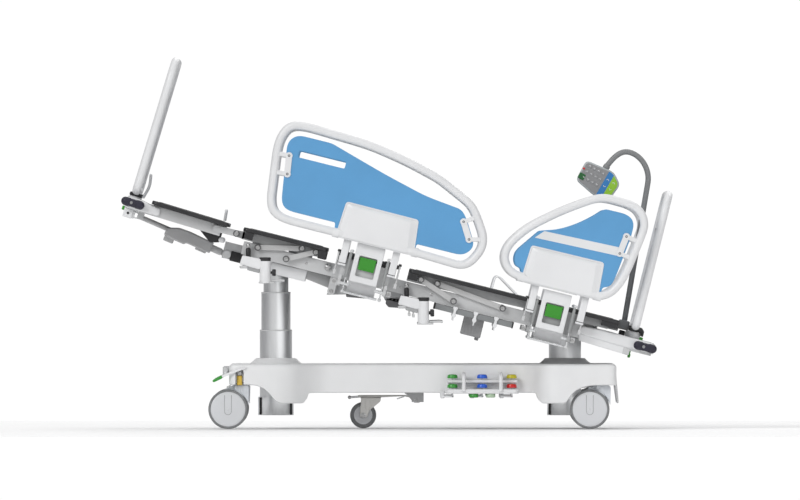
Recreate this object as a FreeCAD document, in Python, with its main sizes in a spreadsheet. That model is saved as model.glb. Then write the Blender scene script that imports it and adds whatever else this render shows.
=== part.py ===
import FreeCAD, Part
import Sketcher
import math
import os

# Adjustable hospital bed, millimetres.
# World frame: +X toward the head end, -Y the near long side, +Z up, floor at Z = 0.
# The lifting frame and everything on it are drawn in bed coordinates:
# x along the platform toward the head, z square to the platform, origin at the head lift pivot.

doc = FreeCAD.newDocument("hospital_bed")

# ---------------------------------------------------------------- driving dimensions
sheet = doc.addObject("Spreadsheet::Sheet", "dims")

DIMENSIONS = [
    ("frame_tilt", 14.0),
    ("calf_slope", 16.8),
    ("head_pivot_x", 637.0),
    ("pivot_height", 405.0),
    ("foot_column_x", -466.0),
    ("pin_radius", 8.0),
    ("pin_gap", 0.06),
    ("beam_inner", 330.0),
    ("beam_outer", 368.0),
    ("beam_top", 4.0),
    ("beam_depth", 50.0),
    ("beam_wall", 3.0),
    ("plate_inner", 370.0),
    ("plate_thick", 5.0),
    ("link_inner", 377.0),
    ("short_link_inner", 386.0),
    ("link_thick", 7.0),
    ("link_width", 20.0),
    ("deck_half", 430.0),
    ("deck_bottom", 41.0),
    ("deck_thick", 20.0),
    ("cover_top", 247.0),
    ("cover_half", 380.0),
    ("cover_wall", 4.0),
    ("spine_half", 190.0),
    ("waist_half", 250.0),
    ("chassis_bottom", 178.0),
    ("chassis_depth", 60.0),
    ("outer_tube_radius", 61.5),
    ("middle_tube_radius", 55.7),
    ("inner_tube_radius", 47.5),
    ("tube_wall", 5.0),
    ("outer_tube_top", 376.0),
    ("caster_radius", 75.0),
    ("caster_trail", 44.0),
    ("caster_side", 320.0),
    ("caster_stem_foot", -602.0),
    ("caster_stem_head", 773.0),
    ("stem_radius", 10.0),
    ("fifth_radius", 50.0),
    ("rail_inner", 459.0),
    ("rail_tube", 32.0),
    ("arm_inner", 440.0),
    ("arm_thick", 12.0),
    ("arm_low", -60.0),
    ("arm_high", 115.0),
    ("board_tube", 33.0),
    ("board_half", 400.0),
    ("socket_radius", 21.0),
    ("socket_bore", 13.0),
]

for row, (alias, value) in enumerate(DIMENSIONS, start=1):
    sheet.set(f"A{row}", alias)
    sheet.set(f"B{row}", str(value))
    sheet.setAlias(f"B{row}", alias)
doc.recompute()


def size(alias):
    """The value of one driving dimension."""
    return float(sheet.get(alias))


TILT = size("frame_tilt")
PIN = size("pin_radius")
BORE = PIN + size("pin_gap")
UP = FreeCAD.Vector(0, 0, 1)
ALONG = FreeCAD.Vector(1, 0, 0)
ACROSS = FreeCAD.Vector(0, 1, 0)
NODES = []


# ---------------------------------------------------------------- helpers
def bind(obj, prop, value):
    """Give a property a number, or an expression in the sheet's aliases."""
    if isinstance(value, str):
        text = value
        for alias, _ in sorted(DIMENSIONS, key=lambda item: -len(item[0])):
            text = replace_word(text, alias)
        obj.setExpression(prop, text)
    else:
        setattr(obj, prop, value)


def replace_word(text, alias):
    """Prefix an alias with the sheet's name wherever it stands as a whole word."""
    out = []
    for word in text.split(" "):
        out.append("dims." + word if word == alias else word)
    return " ".join(out)


def box(low, high):
    """A box between two corners."""
    obj = doc.addObject("Part::Box", "box")
    obj.Length = high[0] - low[0]
    obj.Width = high[1] - low[1]
    obj.Height = high[2] - low[2]
    obj.Placement.Base = FreeCAD.Vector(*low)
    return obj


def cylinder(radius, height, base, axis=UP):
    """A cylinder from its base point along an axis; sizes may be expressions."""
    obj = doc.addObject("Part::Cylinder", "cylinder")
    bind(obj, "Radius", radius)
    bind(obj, "Height", height)
    turn = FreeCAD.Rotation(UP, axis)
    obj.Placement = FreeCAD.Placement(FreeCAD.Vector(*base), turn)
    return obj


def across(radius, x, z, low, high):
    """A cylinder along Y between two distances from the centre plane."""
    return cylinder(radius, high - low, (x, low, z), ACROSS)


def along(radius, y, z, low, high):
    """A cylinder along X."""
    return cylinder(radius, high - low, (low, y, z), ALONG)


def plane_of(body, role):
    """The origin plane of a body, found by its role."""
    for feature in body.Origin.OriginFeatures:
        if feature.Role == role:
            return feature
    raise ValueError(role)


def outline(body, points, name):
    """A closed polygon sketch in the body's XZ plane."""
    sketch = body.newObject("Sketcher::SketchObject", name)
    sketch.AttachmentSupport = (plane_of(body, "XZ_Plane"), [""])
    sketch.MapMode = "FlatFace"
    corners = [FreeCAD.Vector(x, z, 0) for x, z in points]
    for index, corner in enumerate(corners):
        sketch.addGeometry(Part.LineSegment(corner, corners[(index + 1) % len(corners)]), False)
    for index in range(len(corners)):
        after = (index + 1) % len(corners)
        sketch.addConstraint(Sketcher.Constraint("Coincident", index, 2, after, 1))
    return sketch


def plate(points, low, thick, holes=()):
    """A flat plate: an outline in XZ, its inner face at Y = low, with other outlines cut out."""
    body = doc.addObject("PartDesign::Body", "plate")
    pad = body.newObject("PartDesign::Pad", "pad")
    pad.Profile = outline(body, points, "outline")
    bind(pad, "Length", thick)
    pad.Reversed = True
    doc.recompute()
    for hole in holes:
        pocket = body.newObject("PartDesign::Pocket", "pocket")
        pocket.Profile = outline(body, hole, "hole")
        pocket.Type = 1
        pocket.Midplane = True
        doc.recompute()
    body.Placement.Base = FreeCAD.Vector(0, low, 0)
    return body


def fuse(shapes):
    """One object from several."""
    obj = doc.addObject("Part::MultiFuse", "fuse")
    obj.Shapes = shapes
    return obj


def cut(base, tool):
    """A base with a tool taken out of it."""
    obj = doc.addObject("Part::Cut", "cut")
    obj.Base = base
    obj.Tool = tool
    return obj


def mirrored(source):
    """The same piece on the other long side."""
    obj = doc.addObject("Part::Mirroring", "mirror")
    obj.Source = source
    obj.Normal = ACROSS
    return obj


def both_sides(source):
    """A piece and its twin on the other long side."""
    return fuse([source, mirrored(source)])


def node(name, obj, placement=None):
    """Name a finished sub-part and put it in place."""
    obj.Label = name
    if placement is not None:
        obj.Placement = placement.multiply(obj.Placement)
    NODES.append((name, obj))
    return obj


def turned(x, z, angle):
    """A placement at x, z, turned about +Y."""
    return FreeCAD.Placement(FreeCAD.Vector(x, 0, z), FreeCAD.Rotation(ACROSS, angle))


def grown(points, step):
    """An outline moved outward by a step (inward when negative); points run anticlockwise."""
    count = len(points)
    result = []
    for index in range(count):
        before, here, after = points[index - 1], points[index], points[(index + 1) % count]
        one = normal(before, here)
        two = normal(here, after)
        scale = step / (1 + one[0] * two[0] + one[1] * two[1])
        result.append((here[0] + (one[0] + two[0]) * scale, here[1] + (one[1] + two[1]) * scale))
    return result


def normal(start, end):
    """The outward unit normal of one side of an anticlockwise outline."""
    dx, dz = end[0] - start[0], end[1] - start[1]
    length = math.hypot(dx, dz)
    return dz / length, -dx / length


def rounded(points, radius, steps=3):
    """An outline with its corners rounded by short chords."""
    count = len(points)
    result = []
    for index in range(count):
        before, here, after = points[index - 1], points[index], points[(index + 1) % count]
        back = toward(here, before, radius)
        ahead = toward(here, after, radius)
        for step in range(steps + 1):
            share = step / steps
            first = blend(back, here, share)
            second = blend(here, ahead, share)
            result.append(blend(first, second, share))
    return result


def toward(start, end, distance):
    """The point a distance from start toward end, at most 0.45 of the way."""
    length = math.hypot(end[0] - start[0], end[1] - start[1])
    return blend(start, end, min(distance / length, 0.45))


def blend(start, end, share):
    """A point part of the way from start to end."""
    return start[0] + (end[0] - start[0]) * share, start[1] + (end[1] - start[1]) * share


def rectangle(x0, x1, z0, z1):
    """A rectangular outline, anticlockwise."""
    return [(x0, z0), (x1, z0), (x1, z1), (x0, z1)]


def bar(start, end, width, low, thick, bores=()):
    """A flat link bar between two eyes, with bores of the given radii at its ends."""
    dx, dz = end[0] - start[0], end[1] - start[1]
    length = math.hypot(dx, dz)
    side = (-dz / length * width / 2, dx / length * width / 2)
    corners = [
        (start[0] - side[0], start[1] - side[1]),
        (end[0] - side[0], end[1] - side[1]),
        (end[0] + side[0], end[1] + side[1]),
        (start[0] + side[0], start[1] + side[1]),
    ]
    body = plate(corners, low, thick)
    eyes = [across(width / 2, point[0], point[1], low, low + size("link_thick")) for point in (start, end)]
    solid = fuse([body] + eyes)
    for point, radius in bores:
        solid = cut(solid, across(radius, point[0], point[1], low - 1, low + size("link_thick") + 1))
    return solid


BED = turned(size("head_pivot_x"), size("pivot_height"), TILT)


# ---------------------------------------------------------------- base
COVER_TOP = size("cover_top")
SPINE = [
    (-642, 168), (-545, 168), (-500, 150), (-467, 97), (-361, 97), (-334, 137), (520, 137),
    (551, 97), (640, 97), (660, 166), (800, 166), (800, 97), (840, 97), (828, COVER_TOP - 12),
    (815, COVER_TOP), (-630, COVER_TOP), (-642, COVER_TOP - 12),
]
FOOT_END = [
    (-642, 168), (-478, 168), (-467, 97), (-361, 97), (-334, 137), (-300, 137),
    (-300, COVER_TOP - 12), (-312, COVER_TOP), (-630, COVER_TOP), (-642, COVER_TOP - 12),
]
HEAD_END = [
    (500, 137), (520, 137), (551, 97), (640, 97), (652, 166), (830, 166), (828, COVER_TOP - 12),
    (815, COVER_TOP), (512, COVER_TOP), (500, COVER_TOP - 12),
]
WAIST = rectangle(-345, 545, 137, COVER_TOP)
STEM_NOTCH = 22.0
CARRIERS_X = (187.0, 445.0)


def cover_body(shrink):
    """The four overlapping blocks of the base cover, shrunk for its hollow."""
    spine = size("spine_half") - shrink
    end = size("cover_half") - shrink
    waist = size("waist_half") - shrink
    parts = [
        plate(grown(SPINE, -shrink), -spine, 2 * spine),
        plate(grown(FOOT_END, -shrink), -end, 2 * end),
        plate(grown(HEAD_END, -shrink), -end, 2 * end),
        plate(grown(WAIST, -shrink), -waist, 2 * waist),
    ]
    return fuse(parts)


def base_cover():
    """A moulded cover, open below, with a collar round each lift column."""
    wall = size("cover_wall")
    hollow = cover_body(wall)
    floor_cut = [
        box((-638, -376, 90), (-304, 376, 175)),
        box((504, -376, 90), (796, 376, 175)),
        box((-341, -246, 100), (541, 246, 145)),
        box((803, -186, 90), (836, 186, 110)),
    ]
    shell = cut(cover_body(0), fuse([hollow] + floor_cut))
    collars = []
    for column in (size("foot_column_x"), size("head_pivot_x")):
        cone = doc.addObject("Part::Cone", "collar")
        cone.Radius1 = 98.5
        cone.Radius2 = 75.0
        cone.Height = 21.0
        cone.Placement.Base = FreeCAD.Vector(column, 0, COVER_TOP)
        collars.append(cone)
    bores = [cylinder("outer_tube_radius + 1", 90, (size(name), 0, COVER_TOP - 40))
             for name in ("foot_column_x", "head_pivot_x")]
    notches = []
    for stem in (size("caster_stem_foot"), size("caster_stem_head")):
        for side in (-1, 1):
            notches.append(cylinder(STEM_NOTCH, 80, (stem, side * size("caster_side"), 150)))
    passages = [box((-643, side * 240 - 6, 200), (-629, side * 240 + 6, COVER_TOP - 9)) for side in (-1, 1)]
    for x in CARRIERS_X:
        passages += [box((x - 1, side * 248 - 3, 136), (x + 11, side * 248 + 3, 187)) for side in (-1, 1)]
    return cut(fuse([shell] + collars), fuse(bores + notches + passages))


def base_frame():
    """Welded chassis under the cover: cross beams with stem sockets, side members, column seats."""
    bottom = size("chassis_bottom")
    top = bottom + size("chassis_depth")
    solids = [
        box((-632, -350, bottom), (-572, 350, top)),
        box((743, -350, bottom), (803, 350, top)),
        box((-572, -240, bottom), (743, -180, top)),
        box((-572, 180, bottom), (743, 240, top)),
        box((-556, -180, bottom), (-376, 180, bottom + 12)),
        box((547, -180, bottom), (727, 180, bottom + 12)),
        box((46, -180, bottom), (104, 180, bottom + 12)),
        box((52, -14, 100), (98, 14, bottom)),
    ]
    holes = []
    for stem in (size("caster_stem_foot"), size("caster_stem_head")):
        for side in (-1, 1):
            foot = (stem, side * size("caster_side"), bottom - 1)
            holes.append(cylinder("stem_radius + pin_gap", 46, foot))
    for column in (size("foot_column_x"), size("head_pivot_x")):
        holes.append(cylinder("outer_tube_radius", 40, (column, 0, bottom - 5)))
    holes.append(box((50, -8.6, 96), (100, 8.6, 140)))
    pin = across("pin_radius", 75, 119, -14, 14)
    return fuse([cut(fuse(solids), fuse(holes)), pin])


def column_outer_tubes():
    """The fixed outer tube of each telescopic lift column, closed below."""
    tubes = []
    for column in (size("foot_column_x"), size("head_pivot_x")):
        outside = cylinder("outer_tube_radius", "outer_tube_top - 50", (column, 0, 50))
        inside = cylinder("outer_tube_radius - tube_wall", "outer_tube_top - 50", (column, 0, 58))
        tubes.append(cut(outside, inside))
    return fuse(tubes)


def telescope(label, alias, wall, column, low, high):
    """One sliding stage of a lift column."""
    outside = cylinder(alias, high - low, (column, 0, low))
    inside = cylinder(alias + " - " + str(wall), high - low + 2, (column, 0, low - 1))
    return node(label, cut(outside, inside))


def inner_stage(label, column, low, high, pin_height):
    """The inner stage with the yoke block and the cross pin that carry the bed frame."""
    outside = cylinder("inner_tube_radius", high - low, (column, 0, low))
    inside = cylinder("inner_tube_radius - tube_wall", high - low - 12, (column, 0, low))
    block = box((column - 26, -44, high - 1), (column + 26, 44, pin_height + 14))
    pin = across("pin_radius + 2", column, pin_height, -74, 74)
    return node(label, fuse([cut(outside, inside), block, pin]))


PEDALS = (("pedal_height", 207.0), ("pedal_backrest", 320.0), ("pedal_tilt", 432.0))
PEDAL_SHAFT_Z = 122.0
PEDAL_SHAFT_BACK = 38.0


def pedal_panels():
    """Guard rails and shaft brackets of the foot control on both long sides."""
    low_bar = box((187, -345, 141), (455, -262, 147))
    top_bar = box((187, -300, 183), (455, -262, 188))
    posts = [box((x, -272, 112), (x + 8, -262, 188)) for x in (187, 447)]
    guards = [box((x, -352, 141), (x + 14, -262, 215)) for x in (243, 384)]
    carriers = [box((x, -272, 112), (x + 10, -180, size("chassis_bottom"))) for x in CARRIERS_X]
    openings = [box((x - 30, -330, 138), (x + 30, -278, 150)) for _, x in PEDALS]
    slots = [box((x - 30, -300, 180), (x + 30, -276, 190)) for _, x in PEDALS]
    solids = [low_bar, top_bar] + posts + guards + carriers
    for _, x in PEDALS:
        solids.append(box((x - PEDAL_SHAFT_BACK - 12, -272, 110), (x - PEDAL_SHAFT_BACK + 12, -262, 145)))
    bores = [across("pin_radius + pin_gap", x - PEDAL_SHAFT_BACK, PEDAL_SHAFT_Z, -280, -255)
             for _, x in PEDALS]
    return both_sides(cut(fuse(solids), fuse(openings + slots + bores)))


def pedal(x):
    """A rocker: one cross shaft with an outer and an inner pad on each long side."""
    shaft_x = x - PEDAL_SHAFT_BACK
    shaft = across("pin_radius", shaft_x, PEDAL_SHAFT_Z, -318, 0)
    lever = box((shaft_x - 8, -318, PEDAL_SHAFT_Z - 6), (x + 8, -308, PEDAL_SHAFT_Z + 6))
    outer_stem = box((x - 8, -318, PEDAL_SHAFT_Z - 6), (x + 8, -308, 160))
    outer_pad = cylinder(19.5, 17, (x, -313, 156))
    inner_lever = box((shaft_x - 8, -292, PEDAL_SHAFT_Z - 6), (x + 8, -284, PEDAL_SHAFT_Z + 6))
    inner_stem = box((x - 8, -292, PEDAL_SHAFT_Z - 6), (x + 8, -284, 196))
    inner_pad = cylinder(19.5, 15, (x, -288, 192))
    return both_sides(fuse([shaft, lever, outer_stem, outer_pad, inner_lever, inner_stem, inner_pad]))


def caster_housing(x, y):
    """A swivel body between the twin wheels, with its stem and axle."""
    wheel_x = x - size("caster_trail")
    wheel_z = size("caster_radius")
    web = plate([
        (wheel_x - 30, wheel_z - 40), (wheel_x + 40, wheel_z - 46), (x + 16, 118), (x + 18, 164),
        (x - 24, 166), (wheel_x - 34, 140), (wheel_x - 62, 100),
    ], y - 8, 16)
    head = cylinder(19, 22, (x, y, 150))
    stem = cylinder("stem_radius", 70, (x, y, 150))
    axle = across(PIN, wheel_x, wheel_z, y - 34, y + 34)
    return fuse([web, head, stem, axle])


def caster_wheels(x, y):
    """Two wheels on one axle line."""
    wheel_x = x - size("caster_trail")
    discs = []
    for low in (-33.0, 11.0):
        disc = across("caster_radius", wheel_x, size("caster_radius"), y + low, y + low + 22)
        bore = across(BORE, wheel_x, size("caster_radius"), y + low - 1, y + low + 23)
        discs.append(cut(disc, bore))
    return fuse(discs)


FIFTH_X = -133.0
FIFTH_PIVOT = (75.0, 119.0)


def fifth_wheel_arm():
    """The steering-wheel arm: a bar on the chassis pivot, a fork plate and two legs."""
    x, z = FIFTH_PIVOT
    beam = plate(rectangle(FIFTH_X - 20, x, z - 8, z + 8), -8, 16)
    eye = across(12, x, z, -8, 8)
    bridge = box((FIFTH_X - 22, -30, 112), (FIFTH_X + 70, 30, 118))
    legs = [box((FIFTH_X - 12, side * 27 - 3, 38), (FIFTH_X + 14, side * 27 + 3, 118)) for side in (-1, 1)]
    axle = across(PIN, FIFTH_X, size("fifth_radius"), -34, 34)
    lock = along(5, 0, z, FIFTH_X - 52, FIFTH_X - 15)
    ball = doc.addObject("Part::Sphere", "ball")
    ball.Radius = 8
    ball.Placement.Base = FreeCAD.Vector(FIFTH_X - 52, 0, z)
    return cut(fuse([beam, eye, bridge, axle, lock, ball] + legs), across(BORE, x, z, -20, 20))


def fifth_wheel():
    """The small steering wheel."""
    tread = across("fifth_radius", FIFTH_X, size("fifth_radius"), -20, 20)
    return cut(tread, across(BORE, FIFTH_X, size("fifth_radius"), -22, 22))


def brake_pedal():
    """The central brake: a cross shaft over the chassis with a lever at each side."""
    x, z = -655.0, 222.0
    shaft = across("pin_radius", x, z, -300, 0)
    lever = plate([(x - 6, z - 8), (x + 10, z - 6), (x + 10, z + 8), (x - 20, z + 4), (-708, 203), (-706, 194)],
                  -300, 26)
    tread = plate([(-708, 203), (-700, 190), (-742, 178), (-748, 186)], -312, 50)
    return both_sides(fuse([shaft, lever, tread]))


def brake_brackets():
    """Two ears on the foot end of the chassis that hold the brake shaft."""
    ears = []
    for side in (-1, 1):
        ear = box((-667, side * 240 - 5, 205), (-630, side * 240 + 5, 236))
        ears.append(cut(ear, across(BORE, -655, 222, side * 240 - 8, side * 240 + 8)))
    return fuse(ears)


# ---------------------------------------------------------------- bed frame
THIGH_LONG = ((-1204.0, -6.5), (-1040.0, 30.0))
THIGH_SHORT = ((-1089.0, -23.0), (-985.0, 30.0))
BACK_LONG = ((-245.0, -6.0), (-508.0, 25.0))
BACK_SHORT = ((-433.0, -25.0), (-573.0, 25.0))
KNEE = (-1295.0, 25.0)
FOOT_SLOT = (-1152.0, -1088.0)
SLOT_HALF = 13.5


def link_pin(point, outer):
    """A fixed pivot pin that carries a link, with its washer outside the link."""
    shank = across("pin_radius", point[0], point[1], size("beam_outer") - 4, outer + 2)
    washer = across(PIN + 4, point[0], point[1], outer + 0.6, outer + 3.6)
    return fuse([shank, washer])


def main_frame():
    """Two hollow side beams, cross members, lift brackets, link pins and board sleeves."""
    inner, outer = size("beam_inner"), size("beam_outer")
    top = size("beam_top")
    bottom = top - size("beam_depth")
    wall = size("beam_wall")
    beam = cut(box((-1260, -outer, bottom), (344, -inner, top)),
               box((-1257, -outer + wall, bottom + wall), (341, -inner - wall, top - wall)))
    long_outer = size("link_inner") + size("link_thick")
    short_outer = size("short_link_inner") + size("link_thick")
    pins = [
        mirrored(link_pin(THIGH_LONG[0], long_outer)),
        mirrored(link_pin(THIGH_SHORT[0], short_outer)),
        mirrored(link_pin(BACK_LONG[0], long_outer)),
        mirrored(link_pin(BACK_SHORT[0], short_outer)),
    ]
    sides = both_sides(fuse([beam] + pins))
    members = [box((x - 20, -inner, bottom), (x + 20, inner, top - 10))
               for x in (-1214, -1014, -700, -140, 104)]
    members.append(box((232, -inner, bottom), (292, inner, top)))
    slot = rounded(rectangle(FOOT_SLOT[0], FOOT_SLOT[1], -SLOT_HALF, SLOT_HALF), 8)
    foot_plate = plate([(-1230, bottom), (-1194, bottom), (-1170, -24), (-1060, -24), (-1034, bottom),
                        (-996, bottom), (-996, 26), (-1230, 26)], -70, 10, [slot])
    head_plate = plate([(-160, bottom), (-100, bottom), (-70, -24), (70, -24), (84, bottom), (124, bottom),
                        (124, 26), (-160, 26)], -70, 10)
    head_plate = cut(head_plate, across("pin_radius + 2 + pin_gap", 0, 0, -75, -55))
    post_bore = cylinder("pin_radius + 4 + pin_gap", 70, (262, -300, bottom + 12))
    sleeves = [cut(cylinder(20, 60, (262, -300, bottom)), post_bore)]
    brackets = [box((-880, -432, -44), (-690, -outer + 1, 34))]
    lugs = [knuckle(-880, -868), knuckle(-702, -690)]
    near = fuse([foot_plate, head_plate] + sleeves + [cut(fuse(brackets + lugs), rod_bore(-882, -688))])
    return cut(fuse([sides, fuse(members), both_sides(near)]), both_sides(sleeve_bore(262, bottom)))


def sleeve_bore(x, bottom):
    """The blind hole that a board post drops into."""
    return cylinder("pin_radius + 4 + pin_gap", 70, (x, -300, bottom + 12))


def knuckle(low, high):
    """A rail-arm hinge lug on a bracket."""
    middle = -(size("arm_inner") + size("arm_thick") / 2)
    eye = along(12, middle, size("arm_low"), low, high)
    web = box((low, middle, size("arm_low") - 10), (high, -425, -30))
    return fuse([eye, web])


def rod_bore(low, high):
    """The bore through a pair of hinge lugs."""
    middle = -(size("arm_inner") + size("arm_thick") / 2)
    return along(BORE, middle, size("arm_low"), low, high)


def head_end_cover():
    """Moulded side shells and end cap at the head end, with a corner bumper on each side."""
    shell = plate([(44, -49), (344, -49), (350, -40), (350, 3), (44, 3)], -377, 8)
    cap = box((344.5, -377, -49), (352, 377, 3))
    stand = box((305, -400, -30), (325, -376, -6))
    bumper = along(17, -402, -18, 270, 361)
    return fuse([both_sides(fuse([shell, stand, bumper])), cap])


def seat_deck():
    """The fixed platform panel between the thigh and back sections, on two spacer bars."""
    low = size("deck_bottom")
    panel = box((-904, -size("deck_half"), low), (-658, size("deck_half"), low + size("deck_thick")))
    spacers = [box((-890, side * 349 - 15, 4), (-672, side * 349 + 15, low)) for side in (-1, 1)]
    return fuse([panel] + spacers)


def accessory_rails():
    """A flat rail on three stand-offs with three bag hooks, on each long side."""
    rail = box((-498, -392, -70), (-193, -384, -48))
    stands = [box((x, -385, -62), (x + 14, -350, -46)) for x in (-478, -350, -225)]
    hooks = [box((x, -398, -92), (x + 12, -392, -44)) for x in (-425, -345, -265)]
    return both_sides(fuse([rail] + stands + hooks))


def control_boxes():
    """The control unit and the motor pack hung under the frame."""
    unit = box((-381, -325, -140), (-300, -235, -47))
    pack = box((-690, -325, -86), (-630, -245, -47))
    yoke = box((-1139, -325, -90), (-1000, -90, -47))
    tongue = box((-1139, 90, -90), (-1000, 325, -47))
    return fuse([unit, pack, yoke, tongue])


SOCKETS = ((-504.5, 555.0, 650.0), (96.5, 399.0, 498.0))
SOCKET_SIDE = 446.0


def iv_pole_sockets():
    """Four upright sockets for infusion poles on side brackets."""
    pieces = []
    for x, low, high in SOCKETS:
        tube = cylinder("socket_radius", high - low, (x, -SOCKET_SIDE, low))
        arm = box((x - 96, -SOCKET_SIDE - 15, high - 44), (x - 6, -size("beam_outer"), high - 2))
        plug = box((x + 10, -SOCKET_SIDE - 15, low), (x + 38, -SOCKET_SIDE + 15, low + 6))
        bore = cylinder("socket_bore", high - low, (x, -SOCKET_SIDE, low + 8))
        pieces.append(cut(fuse([tube, arm, plug]), bore))
    return both_sides(fuse(pieces))


def end_board(x, low, high):
    """A head or foot board: a tube loop, a panel inside it and two posts."""
    half = size("board_half")
    tube = size("board_tube")
    ring = cut(box((x - tube / 2, -half, low), (x + tube / 2, half, high)),
               box((x - tube, -half + tube, low + tube), (x + tube, half - tube, high - tube)))
    panel = box((x - 8, -half + tube - 1, low + tube - 1), (x + 8, half - tube + 1, high - tube - 70))
    posts = [cylinder(PIN + 4, 60, (x, side * 300, low - 58)) for side in (-1, 1)]
    return fuse([ring, panel] + posts)


# ---------------------------------------------------------------- back section
BACK_ARM = (-141.0, 30.0)


def back_frame():
    """Side plates, cross tubes, link pins and rail-arm brackets of the back section."""
    low = size("plate_inner")
    side = plate([(-625, 8), (-480, 8), (-180, 14), (160, 14), (160, 41), (-625, 41)],
                 -low - size("plate_thick"), "plate_thick")
    pin_reach = size("link_inner") + size("link_thick") + 2
    pin = across("pin_radius", BACK_LONG[1][0], BACK_LONG[1][1], -pin_reach, -low)
    bracket = box((-140, -432, -44), (30, -low - 5, 41))
    lugs = [knuckle(-140, -128), knuckle(18, 30)]
    arms = cut(fuse([bracket] + lugs), rod_bore(-142, 32))
    near = fuse([side, pin, arms])
    tubes = [box((x, -low - 1, 14), (x + 30, low + 1, 41)) for x in (-615, -330, -200, 130)]
    return fuse([both_sides(near)] + tubes)


def deck_panel(low_x, high_x, slot):
    """A platform panel resting on its section's frame, slotted over the short link's open end."""
    low = size("deck_bottom")
    high = low + size("deck_thick")
    panel = box((low_x, -size("deck_half"), low), (high_x, size("deck_half"), high))
    link = size("short_link_inner")
    slot_low = link + size("link_thick") + 2.5
    slots = both_sides(box((slot[0], -slot_low, low - 1), (slot[1], -link + 2.5, high + 1)))
    return cut(panel, slots)


# ---------------------------------------------------------------- thigh and calf sections
def thigh_section():
    """Side plates with the knee pins, cross tubes and the thigh panel."""
    low = size("plate_inner")
    side = plate([(-1273, 10), (-1170, 8), (-960, 14), (-942, 41), (-1273, 41)],
                 -low - size("plate_thick"), "plate_thick")
    knee_ear = bar((-1265, 25), KNEE, 26, -low - size("plate_thick"), "plate_thick")
    reach = size("link_inner") + size("link_thick") + 2
    pin = across("pin_radius", THIGH_LONG[1][0], THIGH_LONG[1][1], -reach, -low)
    knee_pin = across("pin_radius", KNEE[0], KNEE[1], -reach, -low)
    tubes = [box((x, -low - 1, 14), (x + 30, low + 1, 41)) for x in (-1262, -985)]
    panel = deck_panel(-1273, -942, (-1050, -955))
    return fuse([both_sides(fuse([side, knee_ear, pin, knee_pin])), panel] + tubes)


def calf_frame():
    """Two side beams hinged at the knee, cross tubes, rod lugs and the board sleeves."""
    inner, outer = size("beam_inner"), size("beam_outer")
    beam = box((-395, -outer, -28), (-60, -inner, 12))
    cheek = bar((0, 0), (-80, -4), 24, -size("link_inner") - size("link_thick"), "link_thick", [((0, 0), BORE)])
    cheek_tie = box((-92, -size("link_inner") - 1, -16), (-62, -outer + 1, 8))
    tubes = [box((x, -inner - 1, -16), (x + 30, inner + 1, 12)) for x in (-392, -210, -90)]
    sleeve = cylinder(20, 62, (-411, -300, -34))
    tie = box((-411, -310, -16), (-390, -290, 12))
    lug = box((-384, -24, -56), (-360, -16, -10))
    near = fuse([beam, cheek, cheek_tie, sleeve, tie, lug])
    bore = cylinder("pin_radius + 4 + pin_gap", 70, (-411, -300, -28))
    return cut(fuse([both_sides(near)] + tubes), both_sides(bore))


def foot_end_cover():
    """The moulding across the foot end, with corner bumpers."""
    shell = plate([(-300, -22), (-300, 9), (-388, 9), (-388, -22)], -378, 8)
    skirt = box((-436, -378, -26), (-432, 378, 20))
    wing = box((-433, -378, -26), (-380, -370, 9))
    stand = box((-420, -400, -14), (-400, -377, 6))
    bumper = along(17, -402, -3, -456, -364)
    return fuse([both_sides(fuse([shell, wing, stand, bumper])), skirt])


ACTUATOR_FRAME = (-1315.0, -62.0)
ACTUATOR_EYE = (-1686.7, 0.0)


def actuator_axis():
    """Start point, direction angle and length of the calf actuator in bed coordinates."""
    dx = ACTUATOR_EYE[0] - ACTUATOR_FRAME[0]
    dz = ACTUATOR_EYE[1] - ACTUATOR_FRAME[1]
    return math.degrees(math.atan2(dz, -dx)), math.hypot(dx, dz)


def calf_actuator_body():
    """The actuator's gear head and outer tube, along -x from its pivot eye."""
    eye = across(14, 0, 0, -10, 10)
    neck = fuse([box((-26, -10, -12), (-6, 10, 12)), cylinder(13, 48, (-22, 0, 0), -ALONG)])
    tube = cylinder(19, 98, (-66, 0, 0), -ALONG)
    head = box((-250, -30, -30), (-160, 30, 19))
    bore = cylinder(12.3, 185, (-70, 0, 0), -ALONG)
    return cut(fuse([eye, neck, head, tube]), fuse([bore, across(BORE, 0, 0, -12, 12)]))


def calf_actuator_rod(length):
    """The thrust rod with its end eye, left open at the calf lugs."""
    rod = cylinder(12, length - 180, (-length + 6, 0, 0), ALONG)
    eye = across(14, -length, 0, -9, 9)
    return cut(fuse([rod, eye]), across(BORE, -length, 0, -12, 12))


def actuator_bracket():
    """A fork with a pin at the foot end of the frame for the actuator's eye."""
    x, z = ACTUATOR_FRAME
    cheeks = [box((x - 16, side * 15 - 3.5, z - 16), (-1230, side * 15 + 3.5, -14)) for side in (-1, 1)]
    return fuse(cheeks + [across(PIN, x, z, -18, 18)])


# ---------------------------------------------------------------- side rails
LARGE_OUTER = [
    (-1137, 106), (-638, 105), (-408, 96), (-346, 216), (-419, 328), (-452, 363), (-593, 428),
    (-727, 463), (-884, 490), (-1155, 501), (-1215, 480), (-1243, 404), (-1216, 180), (-1195, 130),
]
LARGE_PANEL = [
    (-1131, 157), (-932, 157), (-917, 243), (-637, 238), (-619, 154), (-445, 157), (-411, 199),
    (-458, 287), (-486, 320), (-633, 337), (-800, 379), (-1026, 445), (-1160, 445), (-1191, 410),
    (-1158, 181),
]
LARGE_SLOT = rectangle(-1138, -956, 363, 389)
LARGE_COVER = [(-921, 104), (-638, 104), (-638, 242), (-916, 244)]
SMALL_OUTER = [
    (-200, 108), (109, 112), (154, 142), (188, 213), (216, 398), (216, 440), (189, 486), (141, 510),
    (35, 513), (-14, 498), (-126, 423), (-239, 327), (-297, 245), (-307, 180), (-268, 125),
]
SMALL_PANEL = [
    (-206, 138), (101, 143), (102, 163), (129, 174), (138, 198), (162, 379), (160, 432), (128, 455),
    (39, 454),
    (6, 419), (-46, 375), (-173, 317), (-249, 219), (-250, 188), (-238, 165),
    (-216, 158),
]
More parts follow.
